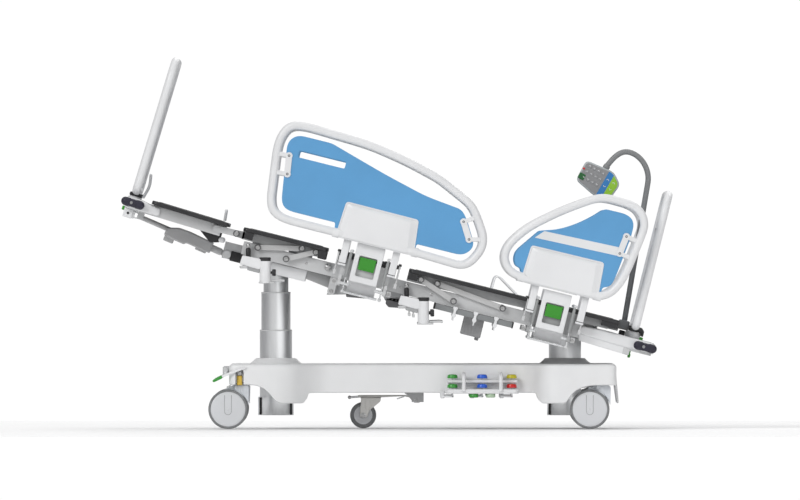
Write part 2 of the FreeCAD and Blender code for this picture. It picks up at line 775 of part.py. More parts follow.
SMALL_COVER = [(-194, 110), (87, 113), (87, 253), (-196, 251)]
RAILS = {
    "large": (LARGE_OUTER, LARGE_PANEL, [LARGE_SLOT], LARGE_COVER, -879.0, -691.0),
    "small": (SMALL_OUTER, SMALL_PANEL, [], SMALL_COVER, -139.0, 29.0),
}
ARM_CLEAR = 12.5
FLAP_PIN = 2.2


def rail_frame(kind):
    """The tube loop, its lower cover block and the two top hinge lugs."""
    rail_outline, _, _, cover, low, high = RAILS[kind]
    tube = size("rail_tube")
    outer = -(size("rail_inner") + tube)
    ring = plate(rail_outline, outer, "rail_tube", [grown(rail_outline, -tube)])
    block = plate(cover, outer + 1, tube - 2)
    middle = -(size("arm_inner") + size("arm_thick") / 2)
    lugs = []
    for x in (low + 30, high - 42):
        lugs.append(along(9, middle, size("arm_high"), x, x + 12))
        low_corner = (x, -size("rail_inner") - 1, size("arm_high") - 8)
        lugs.append(box(low_corner, (x + 12, middle, size("arm_high") + 8)))
    bores = along(BORE - 3, middle, size("arm_high"), low, high)
    return cut(fuse([ring, block] + lugs), fuse([bores, rail_panel(kind)]))


def rail_panel(kind):
    """The plastic infill panel inside the tube loop, reaching to the tube on all sides."""
    _, panel, slots, _, _, _ = RAILS[kind]
    middle = size("rail_inner") + size("rail_tube") / 2
    return plate(panel, -middle - 7, 14, slots)


def rail_arm(kind):
    """The swing arm: a windowed plate, two posts, the lower rod and the upper rod."""
    _, _, _, _, low, high = RAILS[kind]
    face = size("arm_inner")
    middle = -(face + size("arm_thick") / 2)
    centre = (low + high) / 2
    window = rectangle(centre - 33, centre + 33, -18, 54)
    front = -face - size("arm_thick")
    body = plate(rectangle(centre - 40, centre + 40, -74, 104), front, "arm_thick", [window])
    low_rod = along("pin_radius", middle, size("arm_low"), low, high)
    high_rod = along("pin_radius - 3", middle, size("arm_high"), low + 14, high - 14)
    posts = []
    for x in (low + ARM_CLEAR + 2, high - ARM_CLEAR - 16):
        posts.append(box((x, middle - 6, size("arm_low")), (x + 14, middle + 6, size("arm_high"))))
    neck = box((centre - 30, middle - 6, 100), (centre + 30, middle + 6, size("arm_high") + 4))
    return fuse([body, low_rod, high_rod, neck] + posts)


def release_flap(kind):
    """The pull flap in the arm's window."""
    _, _, _, _, low, high = RAILS[kind]
    centre = (low + high) / 2
    middle = size("arm_inner") + size("arm_thick") / 2
    leaf = box((centre - 31, -middle - 3, 6), (centre + 31, -middle + 1, 50))
    return fuse([leaf, along(FLAP_PIN, -middle - 1, 51, centre - 32, centre + 32)])


# ---------------------------------------------------------------- handset on its arm
HANDSET_SIDE = 250.0
ARM_FOOT = (218.0, 66.0)
ARM_TOP = (176.0, 590.0)
ARM_CROWN = (96.0, 680.0)
ARM_END = (12.0, 606.0)


def handset_arm():
    """A bent tube from the clamp at the head end of the back section up to the handset."""
    start = FreeCAD.Vector(ARM_FOOT[0], 0, ARM_FOOT[1])
    top = FreeCAD.Vector(ARM_TOP[0], 0, ARM_TOP[1])
    crown = FreeCAD.Vector(ARM_CROWN[0], 0, ARM_CROWN[1])
    end = FreeCAD.Vector(ARM_END[0], 0, ARM_END[1])
    curve = Part.BSplineCurve()
    final = FreeCAD.Vector(-30, 0, -70)
    curve.interpolate([top, crown, end], InitialTangent=top.sub(start), FinalTangent=final)
    path = Part.Wire([Part.makeLine(start, top), curve.toShape()])
    ring = Part.Wire([Part.makeCircle(9.5, start, top.sub(start))])
    tube = doc.addObject("Part::Feature", "handset_tube")
    tube.Shape = path.makePipeShell([ring], True, True)
    foot = cylinder(9.5, 30, (ARM_FOOT[0], 0, ARM_FOOT[1] - 28))
    return fuse([tube, foot])


def handset():
    """The hand control, hung in the plane of its arm."""
    shape = rounded([(-93, 535), (-15, 495), (46, 482), (76, 558), (40, 600), (-72, 618)], 15)
    socket = cylinder(10.2, 60, (ARM_END[0] - 8, 0, ARM_END[1] - 19), FreeCAD.Vector(30, 0, 70))
    return cut(plate(shape, -14, 28), socket)


def arm_clamp():
    """The clamp block on the back section that holds the handset arm."""
    block = box((198.5, -HANDSET_SIDE - 25, 30), (236, -HANDSET_SIDE + 25, 60))
    strut = box((149, -HANDSET_SIDE - 20, 16), (200, -HANDSET_SIDE + 20, 40))
    return cut(fuse([block, strut]), cylinder(9.56, 60, (ARM_FOOT[0], -HANDSET_SIDE, 36)))


# ---------------------------------------------------------------- build every sub-part
def build_base():
    """Everything that stands still."""
    node("base_cover", base_cover())
    node("base_frame", fuse([base_frame(), brake_brackets()]))
    node("column_outer_tubes", column_outer_tubes())
    node("pedal_panels", pedal_panels())
    for end, x in (("foot", size("caster_stem_foot")), ("head", size("caster_stem_head"))):
        for side, y in (("near", -size("caster_side")), ("far", size("caster_side"))):
            node(f"caster_housing_{end}_{side}", caster_housing(x, y))
            node(f"caster_wheels_{end}_{side}", caster_wheels(x, y))
    node("fifth_wheel_arm", fifth_wheel_arm())
    node("fifth_wheel", fifth_wheel())
    node("brake_pedal", brake_pedal())
    for name, x in PEDALS:
        node(name, pedal(x))


def build_columns():
    """The sliding stages of the two lift columns."""
    foot_x, head_x = size("foot_column_x"), size("head_pivot_x")
    foot_pin = size("pivot_height") + (head_x - foot_x) * math.tan(math.radians(TILT))
    telescope("foot_column_middle", "middle_tube_radius", 4, foot_x, 336, 520)
    inner_stage("foot_column_inner", foot_x, 335, foot_pin - 25, foot_pin)
    telescope("head_column_middle", "middle_tube_radius", 4, head_x, 62, 374)
    inner_stage("head_column_inner", head_x, 64, 380, size("pivot_height"))


def build_bed():
    """The lifting frame and the parts fixed or hung on it."""
    node("main_frame", fuse([main_frame(), actuator_bracket()]), BED)
    node("head_end_cover", head_end_cover(), BED)
    node("seat_deck", seat_deck(), BED)
    node("accessory_rails", accessory_rails(), BED)
    node("control_boxes", control_boxes(), BED)
    node("iv_pole_sockets", iv_pole_sockets())
    node("headboard", end_board(262, 35, 581), BED)
    outer = -size("link_inner") - size("link_thick")
    short_outer = -size("short_link_inner") - size("link_thick")
    width = size("link_width")
    for name, pair, low, bores in (
        ("backrest_long_links", BACK_LONG, outer, [(BACK_LONG[0], BORE), (BACK_LONG[1], BORE)]),
        ("backrest_short_links", BACK_SHORT, short_outer, [(BACK_SHORT[0], BORE)]),
        ("thigh_long_links", THIGH_LONG, outer, [(THIGH_LONG[0], BORE), (THIGH_LONG[1], BORE)]),
        ("thigh_short_links", THIGH_SHORT, short_outer, [(THIGH_SHORT[0], BORE)]),
    ):
        node(name, both_sides(bar(pair[0], pair[1], width, low, "link_thick", bores)), BED)
    node("backrest_frame", fuse([back_frame(), arm_clamp()]), BED)
    node("backrest_deck", deck_panel(-625, 198, (-610, -515)), BED)
    node("thigh_section", thigh_section(), BED)


def build_calf():
    """The calf section, hinged at the knee, and the actuator below it."""
    knee = FreeCAD.Placement(FreeCAD.Vector(KNEE[0], 0, KNEE[1]),
                             FreeCAD.Rotation(ACROSS, size("calf_slope") - TILT))
    calf = BED.multiply(knee)
    node("calf_frame", calf_frame(), calf)
    node("calf_deck", box((-341, -size("deck_half"), 14), (-36, size("deck_half"), 34)), calf)
    node("foot_end_cover", foot_end_cover(), calf)
    node("footboard", end_board(-411, 30, 576), calf)
    angle, length = actuator_axis()
    pivot = FreeCAD.Placement(FreeCAD.Vector(ACTUATOR_FRAME[0], 0, ACTUATOR_FRAME[1]),
                              FreeCAD.Rotation(ACROSS, angle))
    node("calf_actuator_body", calf_actuator_body(), BED.multiply(pivot))
    node("calf_actuator_rod", calf_actuator_rod(length), BED.multiply(pivot))


def build_rails():
    """Four side rails, each with its arm, panel and release flap."""
    makers = (("rail_frame", rail_frame), ("rail_panel", rail_panel), ("rail_arm", rail_arm),
              ("release_flap", release_flap))
    for kind in ("large", "small"):
        for part_name, maker in makers:
            near = maker(kind)
            node(f"{kind}_{part_name}_far", mirrored(near), BED)
            node(f"{kind}_{part_name}_near", maker(kind), BED)


def build_handset():
    """The hand control and its arm, at the near side of the head end."""
    seat = BED.multiply(FreeCAD.Placement(FreeCAD.Vector(0, -HANDSET_SIDE, 0), FreeCAD.Rotation()))
    node("handset_arm", handset_arm(), seat)
    node("handset", handset(), seat)


build_base()
build_columns()
build_bed()
build_calf()
build_rails()
build_handset()
doc.recompute()

# ---------------------------------------------------------------- check and write
for obj in doc.Objects:
    bad = [word for word in obj.State if word in ("Invalid", "Error")]
    if bad:
        raise RuntimeError(f"{obj.Name} {obj.Label}: {bad}")

os.makedirs("parts", exist_ok=True)
for name, obj in NODES:
    if obj.Shape.isNull() or not obj.Shape.isValid():
        raise RuntimeError(f"{name}: bad shape")
    obj.Shape.exportStep(f"parts/{name}.step")
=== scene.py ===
import bmesh
import bpy
import math
from mathutils import Matrix, Vector


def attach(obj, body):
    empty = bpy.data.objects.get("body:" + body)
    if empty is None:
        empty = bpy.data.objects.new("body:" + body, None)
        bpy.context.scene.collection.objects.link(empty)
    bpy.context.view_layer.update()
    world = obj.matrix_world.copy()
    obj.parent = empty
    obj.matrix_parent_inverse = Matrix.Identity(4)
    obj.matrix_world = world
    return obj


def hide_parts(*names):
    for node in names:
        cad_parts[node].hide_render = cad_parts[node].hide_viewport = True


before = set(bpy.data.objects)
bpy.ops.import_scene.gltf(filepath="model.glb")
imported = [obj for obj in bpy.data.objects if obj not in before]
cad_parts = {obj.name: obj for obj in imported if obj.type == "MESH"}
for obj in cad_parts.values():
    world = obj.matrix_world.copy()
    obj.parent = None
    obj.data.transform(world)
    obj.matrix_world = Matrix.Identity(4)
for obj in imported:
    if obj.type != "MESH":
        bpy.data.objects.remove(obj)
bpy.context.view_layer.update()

# ------------------------------------------------------------------ places, millimetres
# Bed coordinates: x along the platform toward the head, z square to it, origin at the head lift pivot.
MM = 0.001
TILT = math.radians(14.0)
CALF_SLOPE = math.radians(16.8)
HEAD_PIVOT = (637.0, 405.0)
FOOT_COLUMN_X = -466.0
COLUMNS = (("foot", FOOT_COLUMN_X), ("head", HEAD_PIVOT[0]))
KNEE = (-1295.0, 25.0)
DECK_HALF = 430.0
RAIL_MIDDLE = 475.0
ARM_MIDDLE = 446.0
BUMPER_SIDE = 402.0
SIDES = (("near", -1), ("far", 1))


def placed(x, z, angle):
    """The matrix of a local frame at x, z, turned about +Y."""
    return Matrix.Translation((x, 0, z)) @ Matrix.Rotation(angle, 4, "Y")


WORLD = Matrix.Identity(4)
BED = placed(HEAD_PIVOT[0], HEAD_PIVOT[1], TILT)
CALF = BED @ placed(KNEE[0], KNEE[1], CALF_SLOPE - TILT)


# ------------------------------------------------------------------ material nodes
def shader(name, colour, roughness, metallic=0.0, **sockets):
    """A new material and its Principled shader, with plain values on its sockets."""
    material = bpy.data.materials.new(name)
    material.use_nodes = True
    bsdf = material.node_tree.nodes["Principled BSDF"]
    bsdf.inputs["Base Color"].default_value = (*colour, 1.0)
    bsdf.inputs["Roughness"].default_value = roughness
    bsdf.inputs["Metallic"].default_value = metallic
    for socket, value in sockets.items():
        bsdf.inputs[socket.replace("_", " ")].default_value = value
    return material, bsdf


def coordinates(material, stretch=(1.0, 1.0, 1.0), turn=0.0):
    """Object coordinates, scaled per axis and turned about Y."""
    nodes, links = material.node_tree.nodes, material.node_tree.links
    source = nodes.new("ShaderNodeTexCoord")
    mapping = nodes.new("ShaderNodeMapping")
    mapping.inputs["Scale"].default_value = stretch
    mapping.inputs["Rotation"].default_value = (0.0, turn, 0.0)
    links.new(source.outputs["Object"], mapping.inputs["Vector"])
    return mapping.outputs["Vector"]


def noise(material, vector, scale, detail=3.0):
    """A noise texture's value."""
    node = material.node_tree.nodes.new("ShaderNodeTexNoise")
    node.inputs["Scale"].default_value = scale
    node.inputs["Detail"].default_value = detail
    material.node_tree.links.new(vector, node.inputs["Vector"])
    return node.outputs["Fac"]


def spread(material, value, low, high):
    """A value from 0..1 mapped to low..high."""
    node = material.node_tree.nodes.new("ShaderNodeMapRange")
    node.inputs["From Min"].default_value = 0.3
    node.inputs["From Max"].default_value = 0.7
    node.inputs["To Min"].default_value = low
    node.inputs["To Max"].default_value = high
    material.node_tree.links.new(value, node.inputs["Value"])
    return node.outputs["Result"]


def two_tone(material, bsdf, value, dark, light):
    """Base colour that drifts between two close tones."""
    ramp = material.node_tree.nodes.new("ShaderNodeValToRGB")
    ramp.color_ramp.elements[0].position = 0.32
    ramp.color_ramp.elements[1].position = 0.68
    ramp.color_ramp.elements[0].color = (*dark, 1.0)
    ramp.color_ramp.elements[1].color = (*light, 1.0)
    material.node_tree.links.new(value, ramp.inputs["Fac"])
    material.node_tree.links.new(ramp.outputs["Color"], bsdf.inputs["Base Color"])


def bump(material, bsdf, height, strength, distance):
    """Surface relief from a height value."""
    node = material.node_tree.nodes.new("ShaderNodeBump")
    node.inputs["Strength"].default_value = strength
    node.inputs["Distance"].default_value = distance
    material.node_tree.links.new(height, node.inputs["Height"])
    material.node_tree.links.new(node.outputs["Normal"], bsdf.inputs["Normal"])


def toned(colour, factor):
    """A colour made lighter or darker."""
    return tuple(min(1.0, part * factor) for part in colour)


def moulded(name, colour, roughness=0.4, grain=1400.0, relief=0.12, drift=0.03, coat=0.0):
    """Moulded plastic: a slight drift of tone, a fine eroded grain and uneven gloss."""
    material, bsdf = shader(name, colour, roughness, Coat_Weight=coat, Coat_Roughness=0.2)
    vector = coordinates(material)
    two_tone(material, bsdf, noise(material, vector, 5.0), toned(colour, 1 - drift), toned(colour, 1 + drift))
    gloss = spread(material, noise(material, vector, 60.0), roughness - 0.05, roughness + 0.06)
    material.node_tree.links.new(gloss, bsdf.inputs["Roughness"])
    bump(material, bsdf, noise(material, vector, grain, 2.0), relief, 0.0002)
    return material


def powder_coat(name, colour, roughness=0.38, drift=0.025):
    """Powder-coated steel: orange-peel relief under a faint gloss."""
    material, bsdf = shader(name, colour, roughness, Coat_Weight=0.25, Coat_Roughness=0.25)
    vector = coordinates(material)
    two_tone(material, bsdf, noise(material, vector, 8.0), toned(colour, 1 - drift), toned(colour, 1 + drift))
    gloss = spread(material, noise(material, vector, 35.0), roughness - 0.06, roughness + 0.08)
    material.node_tree.links.new(gloss, bsdf.inputs["Roughness"])
    bump(material, bsdf, noise(material, vector, 420.0, 2.0), 0.16, 0.0003)
    return material


def brushed(name, colour, stretch, roughness=0.34, turn=0.0, contrast=0.12):
    """Brushed metal: fine lines along one axis in tone, gloss and relief."""
    material, bsdf = shader(name, colour, roughness, metallic=1.0, Anisotropic=0.4)
    vector = coordinates(material, stretch, turn)
    lines = noise(material, vector, 60.0, 6.0)
    two_tone(material, bsdf, lines, toned(colour, 1 - contrast), toned(colour, 1 + contrast))
    gloss = spread(material, lines, roughness - 0.6 * contrast, roughness + contrast)
    material.node_tree.links.new(gloss, bsdf.inputs["Roughness"])
    bump(material, bsdf, lines, 0.08, 0.0002)
    return material


def rubber(name, colour, roughness=0.62):
    """Rubber: matt, a little dusty, with fine pits."""
    material, bsdf = shader(name, colour, roughness)
    vector = coordinates(material)
    two_tone(material, bsdf, noise(material, vector, 28.0, 5.0), toned(colour, 0.85), toned(colour, 1.25))
    gloss = spread(material, noise(material, vector, 90.0), roughness - 0.08, roughness + 0.14)
    material.node_tree.links.new(gloss, bsdf.inputs["Roughness"])
    bump(material, bsdf, noise(material, vector, 700.0, 4.0), 0.3, 0.0003)
    return material


def studded(name, colour):
    """The platform's laminate: black, with a small raised stud pattern."""
    material, bsdf = shader(name, colour, 0.5)
    vector = coordinates(material)
    two_tone(material, bsdf, noise(material, vector, 20.0, 4.0), toned(colour, 0.7), toned(colour, 1.5))
    studs = material.node_tree.nodes.new("ShaderNodeTexVoronoi")
    studs.feature = "F1"
    studs.inputs["Scale"].default_value = 240.0
    studs.inputs["Randomness"].default_value = 0.15
    material.node_tree.links.new(vector, studs.inputs["Vector"])
    gloss = spread(material, studs.outputs["Distance"], 0.3, 0.62)
    material.node_tree.links.new(gloss, bsdf.inputs["Roughness"])
    bump(material, bsdf, studs.outputs["Distance"], 0.5, 0.0008)
    return material


COVER_WHITE = moulded("base_cover_plastic", (0.80, 0.805, 0.81), roughness=0.42)
WHITE_PLASTIC = moulded("white_moulding", (0.77, 0.775, 0.785), roughness=0.36, coat=0.15)
WHITE_STEEL = powder_coat("white_powder_coat", (0.77, 0.775, 0.785))
LIGHT_STEEL = powder_coat("light_grey_powder_coat", (0.58, 0.585, 0.59))
# also colours the arm's recess sheet, where this grey is painted shade
LINK_STEEL = powder_coat("link_light_coat", (0.54, 0.54, 0.54))
SPRING_GREY = powder_coat("spring_grey_coat", (0.30, 0.31, 0.31))
GREY_STEEL = powder_coat("grey_powder_coat", (0.36, 0.365, 0.37))
DARK_STEEL = powder_coat("dark_grey_powder_coat", (0.13, 0.13, 0.135))
RAIL_GREY = powder_coat("rail_grey_coat", (0.23, 0.24, 0.245))
BOARD_WHITE = moulded("board_white_laminate", (0.72, 0.73, 0.74), roughness=0.34, coat=0.2)
BLUE_PANEL = moulded("rail_blue_plastic", (0.105, 0.335, 0.62), roughness=0.4, drift=0.04)
ACTUATOR_GREY = moulded("actuator_grey_plastic", (0.27, 0.27, 0.275), roughness=0.45)
# a lighter copy of the actuator grey for the calf actuator: painted light offsetting the shade on its
# downward faces
JACK_SHADE_LIFTED_GREY = moulded("jack_grey_plastic_lifted_for_shade", (0.50, 0.50, 0.505), roughness=0.45)
BLACK_PLASTIC = moulded("black_plastic", (0.018, 0.018, 0.02), roughness=0.42)
CASTER_GREY = moulded("caster_housing_plastic", (0.66, 0.69, 0.73), roughness=0.4)
WHEEL_DISC = moulded("wheel_disc_plastic", (0.66, 0.67, 0.69), roughness=0.45)
BUMPER_NAVY = rubber("bumper_navy_rubber", (0.016, 0.014, 0.03), roughness=0.5)
TYRE_GREY = rubber("tyre_grey_rubber", (0.19, 0.195, 0.20))
DECK_BLACK = studded("platform_black_laminate", (0.02, 0.02, 0.022))
RELEASE_GREEN = moulded("release_green_plastic", (0.035, 0.28, 0.018), roughness=0.38)
PEDAL_GREEN = moulded("pedal_green_plastic", (0.03, 0.30, 0.03), roughness=0.34, coat=0.3)
PEDAL_BLUE = moulded("pedal_blue_plastic", (0.005, 0.10, 0.62), roughness=0.34, coat=0.3)
PEDAL_YELLOW = moulded("pedal_yellow_plastic", (0.52, 0.46, 0.0), roughness=0.34, coat=0.3)
PEDAL_RED = moulded("pedal_red_plastic", (0.62, 0.0, 0.0), roughness=0.34, coat=0.3)
PALE_GREEN = moulded("pale_green_plastic", (0.45, 0.60, 0.42), roughness=0.34)
COLUMN_ALLOY = brushed("column_alloy", (0.82, 0.83, 0.84), (14.0, 14.0, 0.2), roughness=0.33, contrast=0.03)
ROD_STEEL = brushed("rod_steel", (0.80, 0.81, 0.82), (0.5, 9.0, 9.0), roughness=0.26)
FORK_STEEL = brushed("fork_stainless", (0.56, 0.55, 0.53), (0.6, 8.0, 8.0), roughness=0.36, contrast=0.06)
BOLT_STEEL = brushed("bolt_zinc", (0.50, 0.50, 0.50), (6.0, 6.0, 6.0), roughness=0.3)
BRASS = brushed("stem_brass", (0.72, 0.50, 0.10), (6.0, 6.0, 1.0), roughness=0.3)
HANDSET_GREY = moulded("handset_shell", (0.42, 0.45, 0.46), roughness=0.4)
LIME_STRIPE = moulded("handset_lime_stripe", (0.28, 0.55, 0.03), roughness=0.36)
BLUE_STRIPE = moulded("handset_blue_stripe", (0.03, 0.20, 0.50), roughness=0.36)
KEY_GREEN = moulded("handset_green_key", (0.015, 0.12, 0.03), roughness=0.34)
ARM_GREY = moulded("gooseneck_grey", (0.22, 0.225, 0.23), roughness=0.42)


# ------------------------------------------------------------------ outlines
def toward(start, end, distance):
    """The point a distance from start toward end, at most 0.48 of the way."""
    gap = end - start
    return start + gap * min(distance / max(gap.length, 1e-9), 0.48)


def rounded(points, radius, steps=7, closed=True):
    """A path whose corners are rounded; each corner's cut-back is the radius, or its own if given."""
    corners = [Vector(point) for point in points]
    radii = radius if isinstance(radius, (list, tuple)) else [radius] * len(corners)
    result = []
    for index, here in enumerate(corners):
        if not closed and index in (0, len(corners) - 1):
            result.append(here)
            continue
        back = toward(here, corners[index - 1], radii[index])
        ahead = toward(here, corners[(index + 1) % len(corners)], radii[index])
        for step in range(steps + 1):
            share = step / steps
            result.append(back.lerp(here, share).lerp(here.lerp(ahead, share), share))
    return result


def grown(points, step):
    """A closed anticlockwise outline moved outward (inward when negative)."""
    corners = [Vector(point) for point in points]
    result = []
    for index, here in enumerate(corners):
        one = (here - corners[index - 1]).normalized()
        two = (corners[(index + 1) % len(corners)] - here).normalized()
        first, second = Vector((one.y, -one.x)), Vector((two.y, -two.x))
        result.append(here + (first + second) * (step / (1 + first.dot(second))))
    return result


def rectangle(x0, x1, z0, z1):
    """A rectangular outline."""
    return [(x0, z0), (x1, z0), (x1, z1), (x0, z1)]


def circle(x, z, radius, count=28):
    """A round outline."""
    turns = [2 * math.pi * index / count for index in range(count)]
    return [(x + radius * math.cos(turn), z + radius * math.sin(turn)) for turn in turns]


# ------------------------------------------------------------------ piece builders
def finish_piece(name, mesh, material, body, slot_name, place=WORLD, replaces=(), crease=35.0):
    mesh.transform(Matrix.Scale(MM, 4) @ place)
    obj = bpy.data.objects.new(name, mesh)
    bpy.context.scene.collection.objects.link(obj)
    mesh.materials.clear()
    mesh.materials.append(material)
    mesh.shade_smooth()
    mesh.set_sharp_from_angle(angle=math.radians(crease))
    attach(obj, body)
    if replaces:
        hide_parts(*replaces)
    return obj


def curve_mesh(curve):
    """The mesh of a curve, with the curve itself removed."""
    holder = bpy.data.objects.new("curve_holder", curve)
    mesh = bpy.data.meshes.new_from_object(holder)
    bpy.data.objects.remove(holder)
    bpy.data.curves.remove(curve)
    return mesh


def add_poly(curve, points, closed):
    """One straight-segment spline through 2D or 3D points."""
    spline = curve.splines.new("POLY")
    spline.points.add(len(points) - 1)
    for target, point in zip(spline.points, points):
        target.co = (*tuple(point), 1.0) if len(point) == 3 else (point[0], point[1], 0.0, 1.0)
    spline.use_cyclic_u = closed


def slab_mesh(outlines, thickness, edge):
    """A flat piece in the XZ plane centred on Y = 0, with rounded edges and any holes."""
    curve = bpy.data.curves.new("slab", "CURVE")
    curve.dimensions = "2D"
    curve.fill_mode = "BOTH"
    curve.extrude = thickness / 2 - edge
    curve.bevel_depth = edge
    curve.bevel_resolution = 2
    curve.offset = -edge
    for outline in outlines:
        add_poly(curve, outline, True)
    mesh = curve_mesh(curve)
    mesh.transform(Matrix.Rotation(math.radians(90), 4, "X"))
    return mesh


def slab(name, outlines, low, high, material, body, slot_name, edge=1.5, **options):
    """A flat piece between two distances across the bed."""
    mesh = slab_mesh(outlines, high - low, min(edge, (high - low) * 0.45))
    mesh.transform(Matrix.Translation((0, (low + high) / 2, 0)))
    return finish_piece(name, mesh, material, body, slot_name, **options)


def tube_mesh(points, radius, closed=False, sides=6):
    """A round tube along a path."""
    curve = bpy.data.curves.new("tube", "CURVE")
    curve.dimensions = "3D"
    curve.bevel_depth = radius
    curve.bevel_resolution = sides
    curve.use_fill_caps = not closed
    add_poly(curve, [Vector(point) for point in points], closed)
    return curve_mesh(curve)


def tube(name, points, radius, material, body, slot_name, closed=False, **options):
    """A round tube piece."""
    return finish_piece(name, tube_mesh(points, radius, closed), material, body, slot_name, **options)


def block_mesh(low, high, edge=2.0, segments=3):
    """A box with rounded edges."""
    bm = bmesh.new()
    bmesh.ops.create_cube(bm, size=1.0)
    size = [b - a for a, b in zip(low, high)]
    for vertex in bm.verts:
        vertex.co = Vector([a + s * (c + 0.5) for a, s, c in zip(low, size, vertex.co)])
    width = min(edge, min(size) * 0.45)
    bmesh.ops.bevel(bm, geom=bm.edges[:], offset=width, segments=segments, affect="EDGES", profile=0.5)
    return to_mesh(bm)


def to_mesh(bm):
    """A mesh from a bmesh, with its normals outward."""
    bmesh.ops.recalc_face_normals(bm, faces=bm.faces[:])
    mesh = bpy.data.meshes.new("mesh")
    bm.to_mesh(mesh)
    bm.free()
    return mesh


def block(name, low, high, material, body, slot_name, edge=2.0, **options):
    """A rounded box piece."""
    return finish_piece(name, block_mesh(low, high, edge), material, body, slot_name, **options)


AXES = {"X": Matrix.Rotation(math.radians(90), 4, "Y"), "Y": Matrix.Rotation(math.radians(-90), 4, "X"),
        "Z": Matrix.Identity(4)}


def lathe_mesh(profile, centre, axis="Z", count=40):
    """A turned piece: (radius, height) pairs round an axis, closed into a ring when both ends are off it."""
    bm = bmesh.new()
    rings = []
    for radius, height in profile:
        if radius < 1e-6:
            rings.append([bm.verts.new((0, 0, height))])
            continue
        turns = [2 * math.pi * index / count for index in range(count)]
        rings.append([bm.verts.new((radius * math.cos(t), radius * math.sin(t), height)) for t in turns])
    hollow = len(rings[0]) > 1 and len(rings[-1]) > 1
    for first, second in zip(rings, rings[1:] + (rings[:1] if hollow else [])):
        for index in range(count):
            after = (index + 1) % count
            corners = [first[index % len(first)], first[after % len(first)],
                       second[after % len(second)], second[index % len(second)]]
            unique = list(dict.fromkeys(corners))
            if len(unique) > 2:
                bm.faces.new(unique)
    mesh = to_mesh(bm)
    mesh.transform(Matrix.Translation(centre) @ AXES[axis])
    return mesh


def lathe(name, profile, centre, axis, material, body, slot_name, count=40, **options):
    """A turned piece."""
    return finish_piece(name, lathe_mesh(profile, centre, axis, count), material, body, slot_name, **options)


def joined(meshes):
    """Several meshes as one."""
    bm = bmesh.new()
    for mesh in meshes:
        bm.from_mesh(mesh)
        bpy.data.meshes.remove(mesh)
    mesh = bpy.data.meshes.new("joined")
    bm.to_mesh(mesh)
    bm.free()
    return mesh


def bolt_mesh(x, z, y, side, radius=7.0, proud=6.0):
    """A domed hexagon-socket bolt head with its washer, facing outward."""
    washer = [(0, 0), (radius + 3, 0), (radius + 3, 1.4), (radius + 0.6, 1.8), (0, 1.8)]
    head = [(0, 1.6), (radius, 1.6), (radius, proud * 0.7), (radius * 0.82, proud), (radius * 0.42, proud),
            (radius * 0.36, proud * 0.5), (0, proud * 0.5)]
    meshes = []
    for profile in (washer, head):
        turned = [(r, side * h) for r, h in profile]
        meshes.append(lathe_mesh(turned, (x, y, z), "Y", 20))
    return joined(meshes)


def keep(node, material, edge=1.2):
    """A CAD node whose shape is right: a better material and slightly rounded edges."""
    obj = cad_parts[node]
    for slot in obj.material_slots:
        slot.material = material
    softened = obj.modifiers.new("soft_edges", "BEVEL")
    softened.width = edge * MM
    softened.segments = 2
    softened.limit_method = "ANGLE"
    softened.angle_limit = math.radians(40)
    softened.harden_normals = False
    return obj


# ------------------------------------------------------------------ side rails
LARGE_OUTER = [
    (-1137, 106), (-638, 105), (-408, 96), (-346, 216), (-419, 328), (-452, 363), (-593, 428),
    (-727, 463), (-884, 490), (-1155, 501), (-1215, 480), (-1243, 404), (-1216, 180), (-1195, 130),
]
LARGE_PANEL = [
    (-1131, 157), (-941, 157), (-937, 126), (-912, 126), (-905, 236), (-650, 232), (-645, 122), (-623, 122),
    (-621, 152), (-438, 152), (-405, 196),
    (-458, 287), (-486, 320), (-633, 337), (-800, 379), (-1026, 445), (-1160, 445), (-1191, 410),
    (-1158, 181),
]
LARGE_GRIP = rectangle(-1138, -956, 363, 389)
LARGE_COVER = [(-929, 104), (-621, 104), (-635, 243), (-919, 245)]
SMALL_OUTER = [
    (-200, 108), (109, 112), (154, 142), (188, 213), (216, 398), (216, 440), (189, 486), (141, 510),
    (35, 513), (-14, 498), (-126, 423), (-239, 327), (-297, 245), (-307, 180), (-268, 125),
]
SMALL_PANEL = [
    (-204, 132), (100, 134), (103, 162), (130, 174), (140, 202), (162, 379), (160, 432), (128, 455),
    (39, 454),
    (6, 419), (-46, 375), (-110, 337), (-180, 315), (-249, 219), (-250, 188), (-238, 164), (-216, 158),
]
SMALL_COVER = [(-206, 110), (96, 112), (87, 256), (-198, 254)]
RAIL_RADIUS = 16.0
LARGE_CLIPS = (((-1172, 360), (-1162, 291)), ((-433, 217), (-469, 277)))
SMALL_CLIPS = (((135, 304), (144, 372)),)
RAILS = {
    "large": (LARGE_OUTER, [55, 20, 45, 60, 30, 30, 30, 60, 60, 60, 30, 60, 25, 30], LARGE_PANEL,
              [30, 8, 2, 2, 4, 4, 2, 2, 8, 30, 30, 20, 20, 40, 60, 14, 30, 30, 30], LARGE_COVER),
    "small": (SMALL_OUTER, [30, 20, 30, 60, 30, 30, 30, 40, 40, 50, 60, 50, 40, 30, 30], SMALL_PANEL,
              [2, 2, 8, 16, 60, 30, 25, 30, 12, 30, 40, 50, 8, 24, 24, 12, 6], SMALL_COVER),
}


def between(side, low, high):
    """The two distances across the bed of a piece on one side, in order."""
    return tuple(sorted((side * low, side * high)))


def near_only(side, node):
    """The CAD node that a mirrored pair stands for, named by the near piece alone."""
    return [node] if side < 0 else ()


